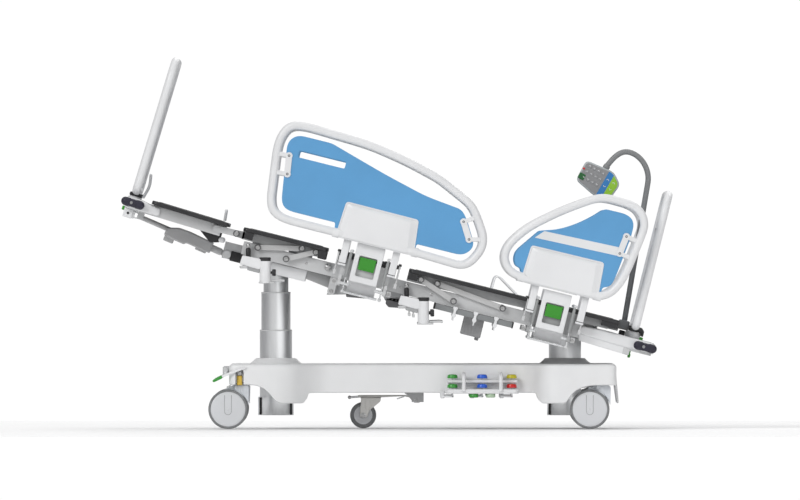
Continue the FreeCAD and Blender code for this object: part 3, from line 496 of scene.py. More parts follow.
def tray_mesh(outline, side, back, front):
    """A moulded cover: a lipped foot on the panel, sloping walls and a raised face."""
    shrink = [Vector(point) for point in outline]
    middle = sum(shrink, Vector((0, 0))) / len(shrink)
    face = [Vector((p.x + (28 if p.x < middle.x else -28),
                    p.y + (7 if p.y < middle.y else -15))) for p in shrink]
    levels = [(shrink, 0, 13, back), (shrink, 0, 13, front - 9), (shrink, -1.5, 12, front - 7.6),
              (shrink, -4.5, 11, front - 7.6), (shrink, -6, 10, front - 10.6), (face, 1.5, 8, front - 1.6),
              (face, 0, 8, front - 0.5), (face, -2.0, 7, front)]
    bm = bmesh.new()
    rings = []
    for corners, step, corner, depth in levels:
        points = rounded(grown(corners, step), corner)
        rings.append([bm.verts.new((point.x, side * depth, point.y)) for point in points])
    for first, second in zip(rings, rings[1:]):
        for index in range(len(first)):
            after = (index + 1) % len(first)
            bm.faces.new([first[index], first[after], second[after], second[index]])
    bm.faces.new(rings[0])
    bm.faces.new(rings[-1])
    return to_mesh(bm)


def clip_meshes(ends, tube_points, side):
    """A three-sided clip between the panel and the rail tube, with its two round bosses."""
    meshes = []
    first, second = Vector(ends[0]), Vector(ends[1])
    paths = [[first, second]]
    for end in (first, second):
        nearest = min(tube_points, key=lambda point: (point - end).length)
        paths.append([end, end + (nearest - end) * 0.86])
    for path, half in zip(paths, (12.0, 8.5, 8.5)):
        direction = (path[1] - path[0]).normalized()
        across_way = Vector((-direction.y, direction.x)) * half
        outline = [path[0] - across_way, path[1] - across_way, path[1] + across_way, path[0] + across_way]
        mesh = slab_mesh([outline], 20, 2.5)
        mesh.transform(Matrix.Translation((0, side * RAIL_MIDDLE, 0)))
        meshes.append(mesh)
    for end in (first, second):
        boss = [(0, -11), (12, -11), (13.5, -9), (13.5, 9), (12.5, 11), (0, 11)]
        meshes.append(lathe_mesh(boss, (end.x, side * RAIL_MIDDLE, end.y), "Y", 28))
    return joined(meshes)


def side_rail(kind, side_name, side):
    """The rail: tube loop, infill panel, clips, hinge cover and its moulded rim."""
    outline, corner, panel, panel_corner, cover = RAILS[kind]
    body = f"{kind}_rail_{side_name}"
    start = [Vector(point) for point in grown(outline, -RAIL_RADIUS)]
    loop = rounded(start, corner)
    y = side * RAIL_MIDDLE
    tube(f"{kind}_rail_tube_{side_name}", [(p.x, y, p.y) for p in loop], RAIL_RADIUS - 0.3, WHITE_STEEL, body,
         "white_steel", closed=True, place=BED, replaces=[f"{kind}_rail_frame_{side_name}"])
    holes = [rounded(LARGE_GRIP, 7)] if kind == "large" else []
    low, high = between(side, RAIL_MIDDLE - 4.5, RAIL_MIDDLE + 4.5)
    slab(f"{kind}_rail_blue_{side_name}", [rounded(panel, panel_corner)] + holes, low, high, BLUE_PANEL, body,
         "blue_panel", edge=2.0, place=BED, replaces=[f"{kind}_rail_panel_{side_name}"])
    face = tray_mesh(cover, side, RAIL_MIDDLE - 6, RAIL_MIDDLE + 15.8)
    finish_piece(f"{kind}_rail_cover_{side_name}", face, WHITE_PLASTIC, body, "white_steel", place=BED)
    back = tray_mesh(grown(cover, -3), -side, -(RAIL_MIDDLE - 3), -(RAIL_MIDDLE - 15.8))
    finish_piece(f"{kind}_rail_cover_back_{side_name}", back, WHITE_PLASTIC, body, "white_steel", place=BED)
    for number, clip in enumerate(LARGE_CLIPS if kind == "large" else SMALL_CLIPS):
        finish_piece(f"{kind}_rail_clip_{number}_{side_name}", clip_meshes(clip, divided(loop, 6.0), side),
                     WHITE_PLASTIC,
                     body, "white_steel", place=BED)
        for end_number, end in enumerate(clip):
            finish_piece(f"{kind}_rail_clip_screw_{number}_{end_number}_{side_name}",
                         screw_mesh(end, side, RAIL_MIDDLE + 10.9), DARK_STEEL, body, "white_steel",
                         place=BED)
    sleeves = []
    low_edge = (cover[0][1] + cover[1][1]) / 2 + RAIL_RADIUS
    for x, way in ((cover[0][0], -1), (cover[1][0], 1)):
        profile = [(15.2, -10), (18.3, -10), (18.3, 10), (17.6, 12), (15.2, 12)]
        sleeve = lathe_mesh([(r, way * h) for r, h in profile], (0, 0, 0), "X", 32)
        sleeve.transform(Matrix.Translation((x, y, low_edge)) @ Matrix.Scale(0.868, 4, (0, 1, 0)))
        sleeves.append(sleeve)
    finish_piece(f"{kind}_rail_sleeves_{side_name}", joined(sleeves), WHITE_PLASTIC, body, "white_steel",
                 place=BED)
    if kind == "small":
        stripe = [(-163, 317), (134, 326), (136, 293), (-193, 284)]
        low, high = between(side, RAIL_MIDDLE - 5.5, RAIL_MIDDLE + 5.5)
        slab(f"small_rail_stripe_{side_name}", [rounded(stripe, 3)], low, high, WHITE_PLASTIC, body,
             "blue_panel",
             edge=1.0, place=BED)


def screw_mesh(point, side, y, radius=5.0):
    """A recessed pan-head screw facing outward."""
    profile = [(0, -2), (radius, -2), (radius, 0.2), (radius - 1.2, 1.0), (2.2, 1.0), (2.0, -0.6), (0, -0.6)]
    return lathe_mesh([(r, side * h) for r, h in profile], (point[0], side * y, point[1]), "Y", 20)


ARMS = {"large": (-879.0, -691.0, "bed"), "small": (-139.0, 29.0, "back")}
ARM_POSTS = {"large": (-893.0, -700.0), "small": (-158.0, 37.0)}
ARM_SPRINGS = {"large": (-854.0, -709.0), "small": (-125.0, 20.0)}
ARM_LOW = -60.0
ARM_HIGH = 115.0


def rail_arm(kind, side_name, side):
    """The arm plate with its window and curved foot, the posts, the two rods and the gas springs."""
    low, high, _ = ARMS[kind]
    centre = (low + high) / 2
    body = f"{kind}_arm_{side_name}"
    window = rounded(rectangle(centre - 35, centre + 35, -21, 58), 6)
    plate_outline = rectangle(centre - 54, centre + 54, -46, 104)
    front, behind = between(side, ARM_MIDDLE - 3, ARM_MIDDLE + 6)
    slab(f"{kind}_arm_plate_{side_name}", [rounded(plate_outline, 4), window], front, behind,
         WHITE_PLASTIC, body, "end_cover_white", edge=2.5, place=BED,
         replaces=[f"{kind}_rail_arm_{side_name}"])
    sill, painted_shade_well = sill_mesh(centre, side), painted_shade_well_mesh(centre, side)
    finish_piece(f"{kind}_arm_sill_{side_name}", sill, WHITE_PLASTIC, body, "end_cover_white", place=BED)
    # the recess sheet's grey is painted shade in the window's hollow
    finish_piece(f"{kind}_arm_well_{side_name}", painted_shade_well, LINK_STEEL, body, "end_cover_white", place=BED)
    y = side * ARM_MIDDLE
    posts, seams = [], []
    for x in ARM_POSTS[kind]:
        posts.append(block_mesh((x, y - 6, 15), (x + 27, y + 6, ARM_HIGH), 2.5))
        posts.append(block_mesh((x - 3, y - 5, 5), (x + 29, y + 5, 13), 2.0))
        seams.append(block_mesh((x - 1, y - 4.5, 12), (x + 28, y + 4.5, 16.5), 0.4))
    finish_piece(f"{kind}_arm_posts_{side_name}", joined(posts), WHITE_STEEL, body, "end_cover_white",
                 place=BED)
    finish_piece(f"{kind}_arm_post_seams_{side_name}", joined(seams), DARK_STEEL, body, "end_cover_white",
                 place=BED)
    rods = [tube_mesh([(low + 1, y, ARM_LOW), (centre - 50, y, ARM_LOW)], 6.0),
            tube_mesh([(centre + 50, y, ARM_LOW), (high - 1, y, ARM_LOW)], 6.0),
            tube_mesh([(low + 14, y, ARM_HIGH), (high - 14, y, ARM_HIGH)], 5.0),
            tube_mesh([(centre - 66, y - side * 4, -91), (centre + 66, y - side * 4, -91)], 4.2)]
    finish_piece(f"{kind}_arm_rods_{side_name}", joined(rods), ROD_STEEL, body, "end_cover_white", place=BED)
    for label, x in zip("ab", ARM_SPRINGS[kind]):
        gas_spring(kind, side_name, side, x, label)
    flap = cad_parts[f"{kind}_release_flap_{side_name}"]
    for slot in flap.material_slots:
        slot.material = RELEASE_GREEN
    lip_y = side * (ARM_MIDDLE + 1)
    lip = rounded_bar_mesh(centre - 31, centre + 31, lip_y, 8, 3.5)
    finish_piece(f"{kind}_flap_lip_{side_name}", lip, RELEASE_GREEN, f"{kind}_flap_{side_name}",
                 "release_green",
                 place=BED)


def rounded_bar_mesh(x0, x1, y, z, radius):
    """A short round bar along the bed with domed ends."""
    profile = [(0, 0), (radius * 0.7, 0.6), (radius, 3), (radius, x1 - x0 - 3), (radius * 0.7, x1 - x0 - 0.6),
               (0, x1 - x0)]
    return lathe_mesh(profile, (x0, y, z), "X", 16)


def sill_mesh(centre, side):
    """The rolled foot of the arm plate, curving back under the frame."""
    bm = bmesh.new()
    rows = []
    radius, start = 48.0, -43.0
    for step in range(12):
        angle = math.radians(step * 6.5)
        depth = 6.0 - radius * (1 - math.cos(angle))
        z = start - radius * math.sin(angle)
        rows.append([bm.verts.new((centre + x, side * (ARM_MIDDLE + depth), z)) for x in (-54, -52, 52, 54)])
    for first, second in zip(rows, rows[1:]):
        for index in range(3):
            bm.faces.new([first[index], first[index + 1], second[index + 1], second[index]])
    bmesh.ops.solidify(bm, geom=bm.faces[:], thickness=3.0)
    return to_mesh(bm)


def painted_shade_well_mesh(centre, side):
    """The curved recess behind the arm's window, coloured light grey as painted shade in the hollow."""
    bm = bmesh.new()
    rows = []
    for step in range(9):
        angle = math.radians(-50 + step * 15)
        depth = -12.0 - 5.0 * math.cos(angle)
        z = 22 + 46 * math.sin(angle) / math.sin(math.radians(70))
        rows.append([bm.verts.new((centre + x, side * (ARM_MIDDLE + depth), z)) for x in (-38, 38)])
    for first, second in zip(rows, rows[1:]):
        bm.faces.new([first[0], first[1], second[1], second[0]])
    bmesh.ops.solidify(bm, geom=bm.faces[:], thickness=2.0)
    return to_mesh(bm)


def gas_spring(kind, side_name, side, x, label):
    """A gas spring beside the arm: cylinder, thin rod, two eyes and a black upper mount."""
    body = f"{kind}_arm_{side_name}"
    y = side * (ARM_MIDDLE + 1)
    cylinder = [(0, 60), (4.5, 60), (6.0, 58), (6.0, -32), (4.8, -36), (0, -36)]
    finish_piece(f"{kind}_spring_body_{side_name}_{label}", lathe_mesh(cylinder, (x, y, 0), "Z", 24),
                 SPRING_GREY,
                 body, "end_cover_white", place=BED)
    parts = [tube_mesh([(x, y, -34), (x + 1.5, y, -88)], 2.8)]
    for z in (-90, 67):
        eye = [(0, -4.5), (5.5, -4.5), (6.5, -3), (6.5, 3), (5.5, 4.5), (0, 4.5)]
        parts.append(lathe_mesh(eye, (x + 1, y, z), "Y", 20))
    finish_piece(f"{kind}_spring_rod_{side_name}_{label}", joined(parts), ROD_STEEL, body, "end_cover_white",
                 place=BED)
    mount = block_mesh((x - 13, y - 4, 53), (x + 13, y + 4, 60), 2.5)
    finish_piece(f"{kind}_spring_mount_{side_name}_{label}", mount, BLACK_PLASTIC, body, "end_cover_white",
                 place=BED)


def rail_brackets(kind, side_name, side):
    """Light cheeks with black caps each side of the arm, on the part of the bed that carries it."""
    low, high, carrier = ARMS[kind]
    pieces, caps = [], []
    for x in (low - 21, high + 29):
        pieces.append(tube_mesh([(x, side * 436, -34), (x, side * 436, 54)], 3.2))
        pieces.append(block_mesh((x - 6, side * 436 - 6, -34), (x + 6, side * 436 + 6, -14), 3))
        knob = [(0, 53), (5.5, 53.5), (6, 54), (6, 61), (5, 62), (0, 62.5)]
        caps.append(lathe_mesh(knob, (x, side * 436, 0), "Z", 20))
    z0, z1 = between(side, 424, 452)
    for x in (low - 20, high + 4):
        pieces.append(block_mesh((x, z0, ARM_LOW - 10), (x + 16, z1, ARM_LOW + 10), 2.0))
    finish_piece(f"{kind}_bracket_cheeks_{side_name}", joined(pieces), LIGHT_STEEL, carrier, "grey_steel",
                 place=BED)
    finish_piece(f"{kind}_bracket_caps_{side_name}", joined(caps), BLACK_PLASTIC, carrier, "grey_steel",
                 place=BED)
    bolts = [bolt_mesh(x, ARM_LOW, side * 452, side, 5, 5) for x in (low - 12, high + 12)]
    finish_piece(f"{kind}_bracket_bolts_{side_name}", joined(bolts), BOLT_STEEL, carrier, "grey_steel",
                 place=BED)


# ------------------------------------------------------------------ head and foot boards
BOARD_HALF = 400.0
BOARD_TUBE = 16.5
POST_SIDE = 300.0


def board(label, node, body, x, low, high, place):
    """A board: round-cornered tube loop, infill panel with a hand gap, posts and collars."""
    inner = BOARD_HALF - BOARD_TUBE
    corners = [(-inner, low + BOARD_TUBE), (inner, low + BOARD_TUBE), (inner, high - BOARD_TUBE),
               (-inner, high - BOARD_TUBE)]
    loop = rounded(corners, [26, 26, 90, 90], 12)
    tube(f"{label}_tube", [(x, p.x, p.y) for p in loop], BOARD_TUBE - 0.3, WHITE_STEEL, body, "board_panel",
         closed=True, place=place, replaces=[node])
    half = inner - 4
    panel = rounded([(-half, low + 20), (half, low + 20), (half, high - 110), (0, high - 96),
                     (-half, high - 110)],
                    [10, 10, 30, 200, 30])
    quarter = Matrix.Translation((x, 0, 0)) @ Matrix.Rotation(math.radians(90), 4, "Z")
    mesh = slab_mesh([panel], 15, 3)
    mesh.transform(quarter)
    finish_piece(f"{label}_panel", mesh, BOARD_WHITE, body, "board_panel", place=place)
    trim = rounded([(-half + 34, low + 52), (half - 34, low + 52), (half - 34, high - 146),
                    (-half + 34, high - 146)],
                   30, 10)
    for face, offset in (("outer", 8.2), ("inner", -8.2)):
        ring = tube_mesh([(x + offset, p.x, p.y) for p in trim], 2.2, True, 3)
        finish_piece(f"{label}_bead_{face}", ring, WHITE_PLASTIC, body, "board_panel", place=place)
    post = [(0, low - 56), (9, low - 56), (11.5, low - 52), (11.5, low + 6), (0, low + 6)]
    collar = [(16.4, low - 6), (21, low - 6), (23, low - 3), (23, low + 5), (20, low + 8), (16.4, low + 8)]
    leg = [(0, low - 4), (15.8, low - 4), (16.2, low - 2), (16.2, low + 20), (0, low + 20)]
    for part, profile, count, material in (("posts", post, 28, ROD_STEEL),
                                           ("collars", collar, 32, BLACK_PLASTIC),
                                           ("legs", leg, 32, WHITE_STEEL)):
        pair = [lathe_mesh(profile, (x, y, 0), "Z", count) for y in (-POST_SIDE, POST_SIDE)]
        finish_piece(f"{label}_{part}", joined(pair), material, body, "board_panel", place=place)


# ------------------------------------------------------------------ wheeled base
COVER_TOP = 247.0
COVER_PLAN = [
    (-642, -380), (-430, -380), (-300, -262), (-200, -250), (420, -250), (500, -262), (560, -380),
    (830, -380),
    (830, 380), (560, 380), (500, 262), (420, 250), (-200, 250), (-300, 262), (-430, 380), (-642, 380),
]
STEMS_X = (("foot", -602.0), ("head", 773.0))
STEM_SIDE = 320.0
CASTER_TRAIL = 44.0
WHEEL_RADIUS = 75.0
SKIRT = [(-642, 168), (-545, 168), (-500, 150), (-460, 97), (-352, 97), (-340, 137), (525, 137),
         (538, 97), (638, 97), (660, 134), (690, 155), (735, 166), (830, 166)]
SKIRT_CORNERS = [0, 26, 40, 24, 15, 15, 15, 15, 14, 20, 20, 20, 0]


def skirt_height(x, rounded_skirt):
    """The lower edge of the base cover at a place along it."""
    for first, second in zip(rounded_skirt, rounded_skirt[1:]):
        if first.x <= x <= second.x and second.x > first.x:
            return first.lerp(second, (x - first.x) / (second.x - first.x)).y
    return rounded_skirt[0].y if x < rounded_skirt[0].x else rounded_skirt[-1].y


def divided(points, step):
    """A closed outline with points added so that none are further apart than a step."""
    result = []
    for index, here in enumerate(points):
        after = points[(index + 1) % len(points)]
        count = max(1, int((after - here).length / step))
        result.extend(here.lerp(after, part / count) for part in range(count))
    return result


def base_cover_mesh():
    """The dog-bone cover: upright walls with a shaped lower edge and a rounded shoulder."""
    lower = rounded(SKIRT, SKIRT_CORNERS, 8, closed=False)
    plan = divided(rounded(COVER_PLAN, [34, 70, 90, 60, 60, 90, 60, 34, 34, 60, 90, 60, 60, 90, 70, 34], 9),
                   7.0)
    skirt = [skirt_height(point.x, lower) for point in plan]
    bm = bmesh.new()
    rings = []
    for inset, lift in ((7.0, 14.0), (7.0, 0.5), (4.5, 0.0), (0.0, 3.0)):
        ring = grown(plan, -inset)
        rings.append([bm.verts.new((p.x, p.y, low + lift)) for p, low in zip(ring, skirt)])
    for turn in range(0, 91, 15):
        angle = math.radians(turn)
        inset = 14 * (1 - math.cos(angle))
        height = COVER_TOP - 14 + 14 * math.sin(angle)
        rings.append([bm.verts.new((p.x, p.y, height)) for p in grown(plan, -inset)])
    for first, second in zip(rings, rings[1:]):
        for index in range(len(plan)):
            after = (index + 1) % len(plan)
            bm.faces.new([first[index], first[after], second[after], second[index]])
    caps = [bm.faces.new(rings[-1]), bm.faces.new(rings[0])]
    bmesh.ops.triangulate(bm, faces=caps)
    return to_mesh(bm)


def cut_away(mesh, cutters):
    """A mesh with cutter meshes taken out of it."""
    scene = bpy.context.scene
    body = bpy.data.objects.new("cut_body", mesh)
    scene.collection.objects.link(body)
    tools = []
    for number, cutter in enumerate(cutters):
        tool = bpy.data.objects.new(f"cut_tool_{number}", cutter)
        scene.collection.objects.link(tool)
        tools.append(tool)
        difference = body.modifiers.new("cut", "BOOLEAN")
        difference.operation = "DIFFERENCE"
        difference.solver = "EXACT"
        difference.object = tool
    result = bpy.data.meshes.new_from_object(body.evaluated_get(bpy.context.evaluated_depsgraph_get()))
    for obj in [body] + tools:
        bpy.data.objects.remove(obj)
    return result


def base_cover():
    """The cover with its wheel pockets, stem notches and column bores; collars, stem bolts and end skirt."""
    notches = []
    foot_stem = STEMS_X[0][1]
    for _, side in SIDES:
        y0, y1 = between(side, STEM_SIDE - 24, 396)
        notches.append(block_mesh((foot_stem - 16, y0, 140), (foot_stem + 16, y1, 227), 12))
        y0, y1 = between(side, 190, 372)
        notches.append(block_mesh((-634, y0, 60), (-478, y1, 166), 10))
    notches.append(block_mesh((-250, -60, 90), (100, 60, 200), 8))
    for _, x in COLUMNS:
        notches.append(lathe_mesh([(0, 80), (62.5, 80), (62.5, 260), (0, 260)], (x, 0, 0), "Z", 64))
    mesh = cut_away(base_cover_mesh(), notches)
    finish_piece("base_cover_shell", mesh, COVER_WHITE, "base", "white_cover", replaces=["base_cover"],
                 crease=30)
    for label, x in COLUMNS:
        collar = [(63, COVER_TOP - 1), (98.5, COVER_TOP - 1), (97, COVER_TOP + 2), (88, COVER_TOP + 9),
                  (80, COVER_TOP + 17), (76, COVER_TOP + 20.5), (70, COVER_TOP + 21), (63, COVER_TOP + 21)]
        lathe(f"cover_collar_{label}", collar, (x, 0, 0), "Z", COVER_WHITE, "base", "white_cover", count=64)
    for label, side in SIDES:
        y0, y1 = between(side, 349.5, 357)
        block(f"stem_bush_{label}", (foot_stem - 10, y0, 166), (foot_stem + 10, y1, 203), BRASS, "base",
              "grey_steel",
              edge=3)
        ball = [(0, side * 350), (12, side * 350), (12, side * 355), (9, side * 360), (5, side * 362),
                (0, side * 362)]
        lathe(f"stem_bolt_{label}", ball, (foot_stem, 0, 213), "Y", BOLT_STEEL, "base", "grey_steel",
              count=28)
    blade = rounded([(812, 232), (829, 232), (834, 172), (841, 100), (838, 96), (833, 98), (824, 168),
                     (812, 172)], 3)
    slab("cover_end_skirt", [blade], -188, 188, COVER_WHITE, "base", "white_cover", edge=2)


def columns():
    """The telescopic columns keep their CAD shapes in brushed alloy, with black strips near each foot
    sleeve's edges on its near face that are painted shade.
    """
    for node in ("column_outer_tubes", "head_column_middle", "head_column_inner", "foot_column_middle",
                 "foot_column_inner"):
        keep(node, COLUMN_ALLOY, 1.0)
    for label, x in COLUMNS:
        sleeve = [(61.8, 50), (67.4, 50), (68, 51), (68, 120), (61.8, 120)]
        lathe(f"column_foot_sleeve_{label}", sleeve, (x, 0, 0), "Z", COLUMN_ALLOY, "base", "column_alloy",
              count=64)
        # black strips near the sleeve's sides, on the near face only: painted shade for the foot housing's
        # dark edges
        plates = [block_mesh((x + way * 58 - 5, -42, 52), (x + way * 58 + 5, -32, 118), 1.5) for way in (-1,
                                                                                                         1)]
        finish_piece(f"column_foot_painted_shade_strips_{label}", joined(plates), BLACK_PLASTIC, "base", "column_alloy")
    wiper("foot_outer_wiper", FOOT_COLUMN_X, 61.5, 376, "base")
    wiper("head_outer_wiper", HEAD_PIVOT[0], 61.5, 376, "base")
    wiper("foot_middle_wiper", FOOT_COLUMN_X, 55.7, 520, "foot_stage_2")


def wiper(name, x, radius, top, body):
    """The thin seal ring at a tube's mouth."""
    profile = [(radius - 3.5, top - 5), (radius + 0.3, top - 5), (radius + 0.5, top - 4),
               (radius + 0.5, top - 1),
               (radius + 0.1, top), (radius - 3.5, top)]
    lathe(name, profile, (x, 0, 0), "Z", LIGHT_STEEL, body, "column_alloy", count=56)


def wheel_profile(radius, half_width, crown=4.0):
    """A tyre's section: flat tread with rounded shoulders."""
    return [(radius - 9, -half_width), (radius - crown, -half_width),
            (radius - 1.2, -half_width + crown * 0.4),
            (radius, -half_width + crown), (radius, half_width - crown),
            (radius - 1.2, half_width - crown * 0.4), (radius - crown, half_width), (radius - 9, half_width)]


def twin_caster(end, stem_x, side_name, side):
    """A twin-wheel caster: two tyres with plain discs, the swivel housing and the brass stem."""
    swivel, roll = f"caster_{end}_{side_name}", f"wheels_{end}_{side_name}"
    x, y, z = stem_x - CASTER_TRAIL, side * STEM_SIDE, WHEEL_RADIUS
    tyres, discs, grooves = [], [], []
    for way in (-1, 1):
        tyres.append(lathe_mesh(wheel_profile(WHEEL_RADIUS, 11), (x, y + way * 22, z), "Y", 64))
        face = [(0, -10), (64, -10), (66.5, -10.6), (66.5, 9.5), (64.5, 11), (58, 11.6), (30, 12.6),
                (0, 12.8)]
        discs.append(lathe_mesh([(r, way * h) for r, h in face], (x, y + way * 22, z), "Y", 56))
        arc = [(x + 13 * math.cos(math.radians(a)), y + way * 34.7, z - 8 + 13 * math.sin(math.radians(a)))
               for a in range(180, 361, 15)]
        path = [(x - 13, y + way * 34.4, z + 54)] + arc + [(x + 13, y + way * 34.4, z + 54)]
        grooves.append(tube_mesh(path, 0.8))
    finish_piece(f"caster_tyres_{end}_{side_name}", joined(tyres), TYRE_GREY, roll, "caster_tread",
                 replaces=[f"caster_wheels_{end}_{side_name}"])
    finish_piece(f"caster_discs_{end}_{side_name}", joined(discs), WHEEL_DISC, roll, "caster_tread")
    finish_piece(f"caster_grooves_{end}_{side_name}", joined(grooves), ACTUATOR_GREY, roll, "caster_tread")
    outline = [(x - 30, z - 40), (x + 40, z - 46), (stem_x + 16, 118), (stem_x + 18, 164), (stem_x - 24, 166),
               (x - 34, 140), (x - 62, 100)]
    low, high = between(side, STEM_SIDE - 8, STEM_SIDE + 8)
    slab(f"caster_web_{end}_{side_name}", [rounded(outline, 16)], low, high, CASTER_GREY, swivel,
         "caster_shell",
         edge=3, replaces=[f"caster_housing_{end}_{side_name}"])
    head = [(0, 118), (20, 118), (24, 124), (25, 150), (25, 160), (22, 168), (14, 171.5), (0, 171.5)]
    lathe(f"caster_head_{end}_{side_name}", head, (stem_x, y, 0), "Z", CASTER_GREY, swivel, "caster_shell")
    cowl = [(34, 90), (36, 158), (30, 166), (-18, 166), (-20, 151), (2, 139), (18, 123), (29, 106)]
    low, high = between(side, STEM_SIDE - 23, STEM_SIDE + 23)
    slab(f"caster_cowl_{end}_{side_name}", [rounded([(stem_x + along, z) for along, z in cowl], 5)], low,
         high,
         CASTER_GREY, swivel, "caster_shell", edge=2.5)
    stem = lathe_mesh([(0, 171), (10.5, 171), (11.5, 173), (11.5, 196), (10.5, 198), (0, 198)],
                      (stem_x, y, 0), "Z", 6)
    finish_piece(f"caster_stem_{end}_{side_name}", stem, BRASS, swivel, "caster_shell")
    dome = [(0, 197), (9, 197), (11, 201), (11, 209), (7.5, 216), (0, 219)]
    lathe(f"caster_stem_dome_{end}_{side_name}", dome, (stem_x, y, 0), "Z", BOLT_STEEL, swivel,
          "caster_shell")
    pin = [(0, -3), (5.0, -3), (5.0, -2.2), (3.2, -0.9), (0, -0.7)]
    meshes = []
    for way in (-1, 1):
        spot = (x, y + way * 37.2, z)
        meshes.append(lathe_mesh([(r, way * h) for r, h in pin], spot, "Y", 20))
    finish_piece(f"caster_axle_caps_{end}_{side_name}", joined(meshes), WHEEL_DISC, roll, "caster_tread")
    tab = block_mesh((x - 5, y - 5, z + WHEEL_RADIUS - 8), (x + 5, y + 5, z + WHEEL_RADIUS + 13), 1.5)
    finish_piece(f"caster_lock_tab_{end}_{side_name}", tab, ROD_STEEL, swivel, "caster_shell")


FIFTH_X = -133.0
FIFTH_RADIUS = 50.0


def fifth_wheel():
    """The steering wheel: tyre, hub disc, stainless fork, arm, lock rod and bracket."""
    z = FIFTH_RADIUS
    tyre = [(35, -19), (45, -20), (49, -15), (50, -8), (50, 8), (49, 15), (45, 20), (35, 19)]
    lathe("fifth_tyre", tyre, (FIFTH_X, 0, z), "Y", TYRE_GREY, "fifth_roller",
          "caster_tread", count=56, replaces=["fifth_wheel"])
    discs = []
    for way in (-1, 1):
        face = [(0, 0), (36, 0), (36, 18.5), (34, 20), (14, 20.4), (12, 22), (0, 22)]
        discs.append(lathe_mesh([(r, way * h) for r, h in face], (FIFTH_X, 0, z), "Y", 48))
    finish_piece("fifth_discs", joined(discs), WHEEL_DISC, "fifth_roller", "caster_tread")
    leg = [(FIFTH_X - 13, 40), (FIFTH_X + 15, 40), (FIFTH_X + 22, 66), (FIFTH_X + 68, 104),
           (FIFTH_X + 66, 118),
           (FIFTH_X - 8, 118)]
    for label, way in SIDES:
        low, high = between(way, 25.5, 29.0)
        slab(f"fork_leg_{label}", [rounded(leg, 10)], low, high, FORK_STEEL, "fifth_arm", "fork_steel",
             edge=1.0,
             replaces=near_only(way, "fifth_wheel_arm"))
        finish_piece(f"fork_axle_{label}", bolt_mesh(FIFTH_X, z, way * 29, way, 8, 6), BOLT_STEEL,
                     "fifth_arm",
                     "fork_steel")
    block("fork_bridge", (FIFTH_X - 10, -29, 113), (FIFTH_X + 68, 29, 118), FORK_STEEL, "fifth_arm",
          "fork_steel")
    web = rounded([(FIFTH_X + 10, 72), (FIFTH_X + 26, 72), (FIFTH_X + 26, 112), (FIFTH_X + 10, 112)], 5)
    slab("fork_rib", [web], -30.5, -28.6, FORK_STEEL, "fifth_arm", "fork_steel", edge=0.8)
    beam = [(FIFTH_X - 20, 118), (FIFTH_X + 30, 116), (20, 122), (75, 112), (84, 119), (75, 127),
            (FIFTH_X - 20, 127)]
    slab("fifth_beam", [rounded(beam, 5)], -8, 8, FORK_STEEL, "fifth_arm", "fork_steel", edge=2)
    tube("fifth_lock_rod", [(FIFTH_X - 52, 0, 118), (FIFTH_X - 12, 0, 121)], 4.0, ROD_STEEL, "fifth_arm",
         "fork_steel")
    lathe("fifth_lock_ball", [(0, -7), (5, -5.5), (7, 0), (5, 5.5), (0, 7)], (FIFTH_X - 52, 0, 118), "X",
          BOLT_STEEL,
          "fifth_arm", "fork_steel", count=24)
    bracket = [(54, 104), (62, 97), (82, 97), (88, 103), (90, 136), (22, 136), (36, 126)]
    for label, way in SIDES:
        low, high = between(way, 9.0, 12.5)
        slab(f"fifth_bracket_{label}", [rounded(bracket, 6)], low, high, LIGHT_STEEL, "base", "grey_steel",
             edge=1.0)
        bolt = bolt_mesh(72, 108, way * 12.5, way, 5, 5)
        finish_piece(f"fifth_bracket_bolts_{label}", bolt, BOLT_STEEL, "base", "grey_steel")
    tube("fifth_release_wire", [(-4, -6, 112), (14, -6, 118), (46, -6, 130)], 2.2, ROD_STEEL, "base",
         "grey_steel")


BRAKE_LEVER = [(-674, 193), (-576, 231), (-577, 236), (-612, 228), (-676, 201)]
BRAKE_TREAD = [(-700, 177), (-668, 192), (-667, 199), (-672, 203), (-702, 188), (-706, 182)]


def brake():
    """The brake bar: cross shaft in the stem notches, flat levers and green treads."""
    x, z = -655.0, 222.0
    bar = joined([tube_mesh([(x, -387, z - 10), (x, 387, z - 10)], 5.0),
                  tube_mesh([(x, -270, z), (x, 270, z)], 8.0)]
                 + [block_mesh((x - 6, y - 6, z - 16), (x + 6, y + 6, z + 8), 2) for y in (-262, 262)])
    finish_piece("brake_shaft", bar, ROD_STEEL, "brake", "white_steel", replaces=["brake_pedal"])
    for label, side in SIDES:
        low, high = between(side, 383, 389)
        slab(f"brake_lever_{label}", [rounded(BRAKE_LEVER, 3)], low, high, WHITE_STEEL, "brake",
             "white_steel",
             edge=1.5)
        low, high = between(side, 344, 391)
        slab(f"brake_tread_{label}", [rounded(BRAKE_TREAD, 4)], low, high, PEDAL_GREEN, "brake",
             "white_steel",
             edge=2.5)
        ribs = []
        for step in range(5):
            rx = -676 - step * 5.6
            rz = 200.6 - step * 2.8
            ribs.append(tube_mesh([(rx, side * 347, rz), (rx, side * 388, rz)], 1.3, sides=3))
        finish_piece(f"brake_tread_ribs_{label}", joined(ribs), PEDAL_GREEN, "brake", "white_steel")


PEDALS = (("height", 207.0, "pedal_height", (PEDAL_GREEN, PEDAL_GREEN), "pedal_green"),
          ("backrest", 320.0, "pedal_backrest", (PEDAL_BLUE, PEDAL_BLUE), "pedal_blue"),
          ("tilt", 432.0, "pedal_tilt", (PEDAL_YELLOW, PEDAL_RED), "pedal_yellow"))
PEDAL_SHAFT = (-38.0, 122.0)


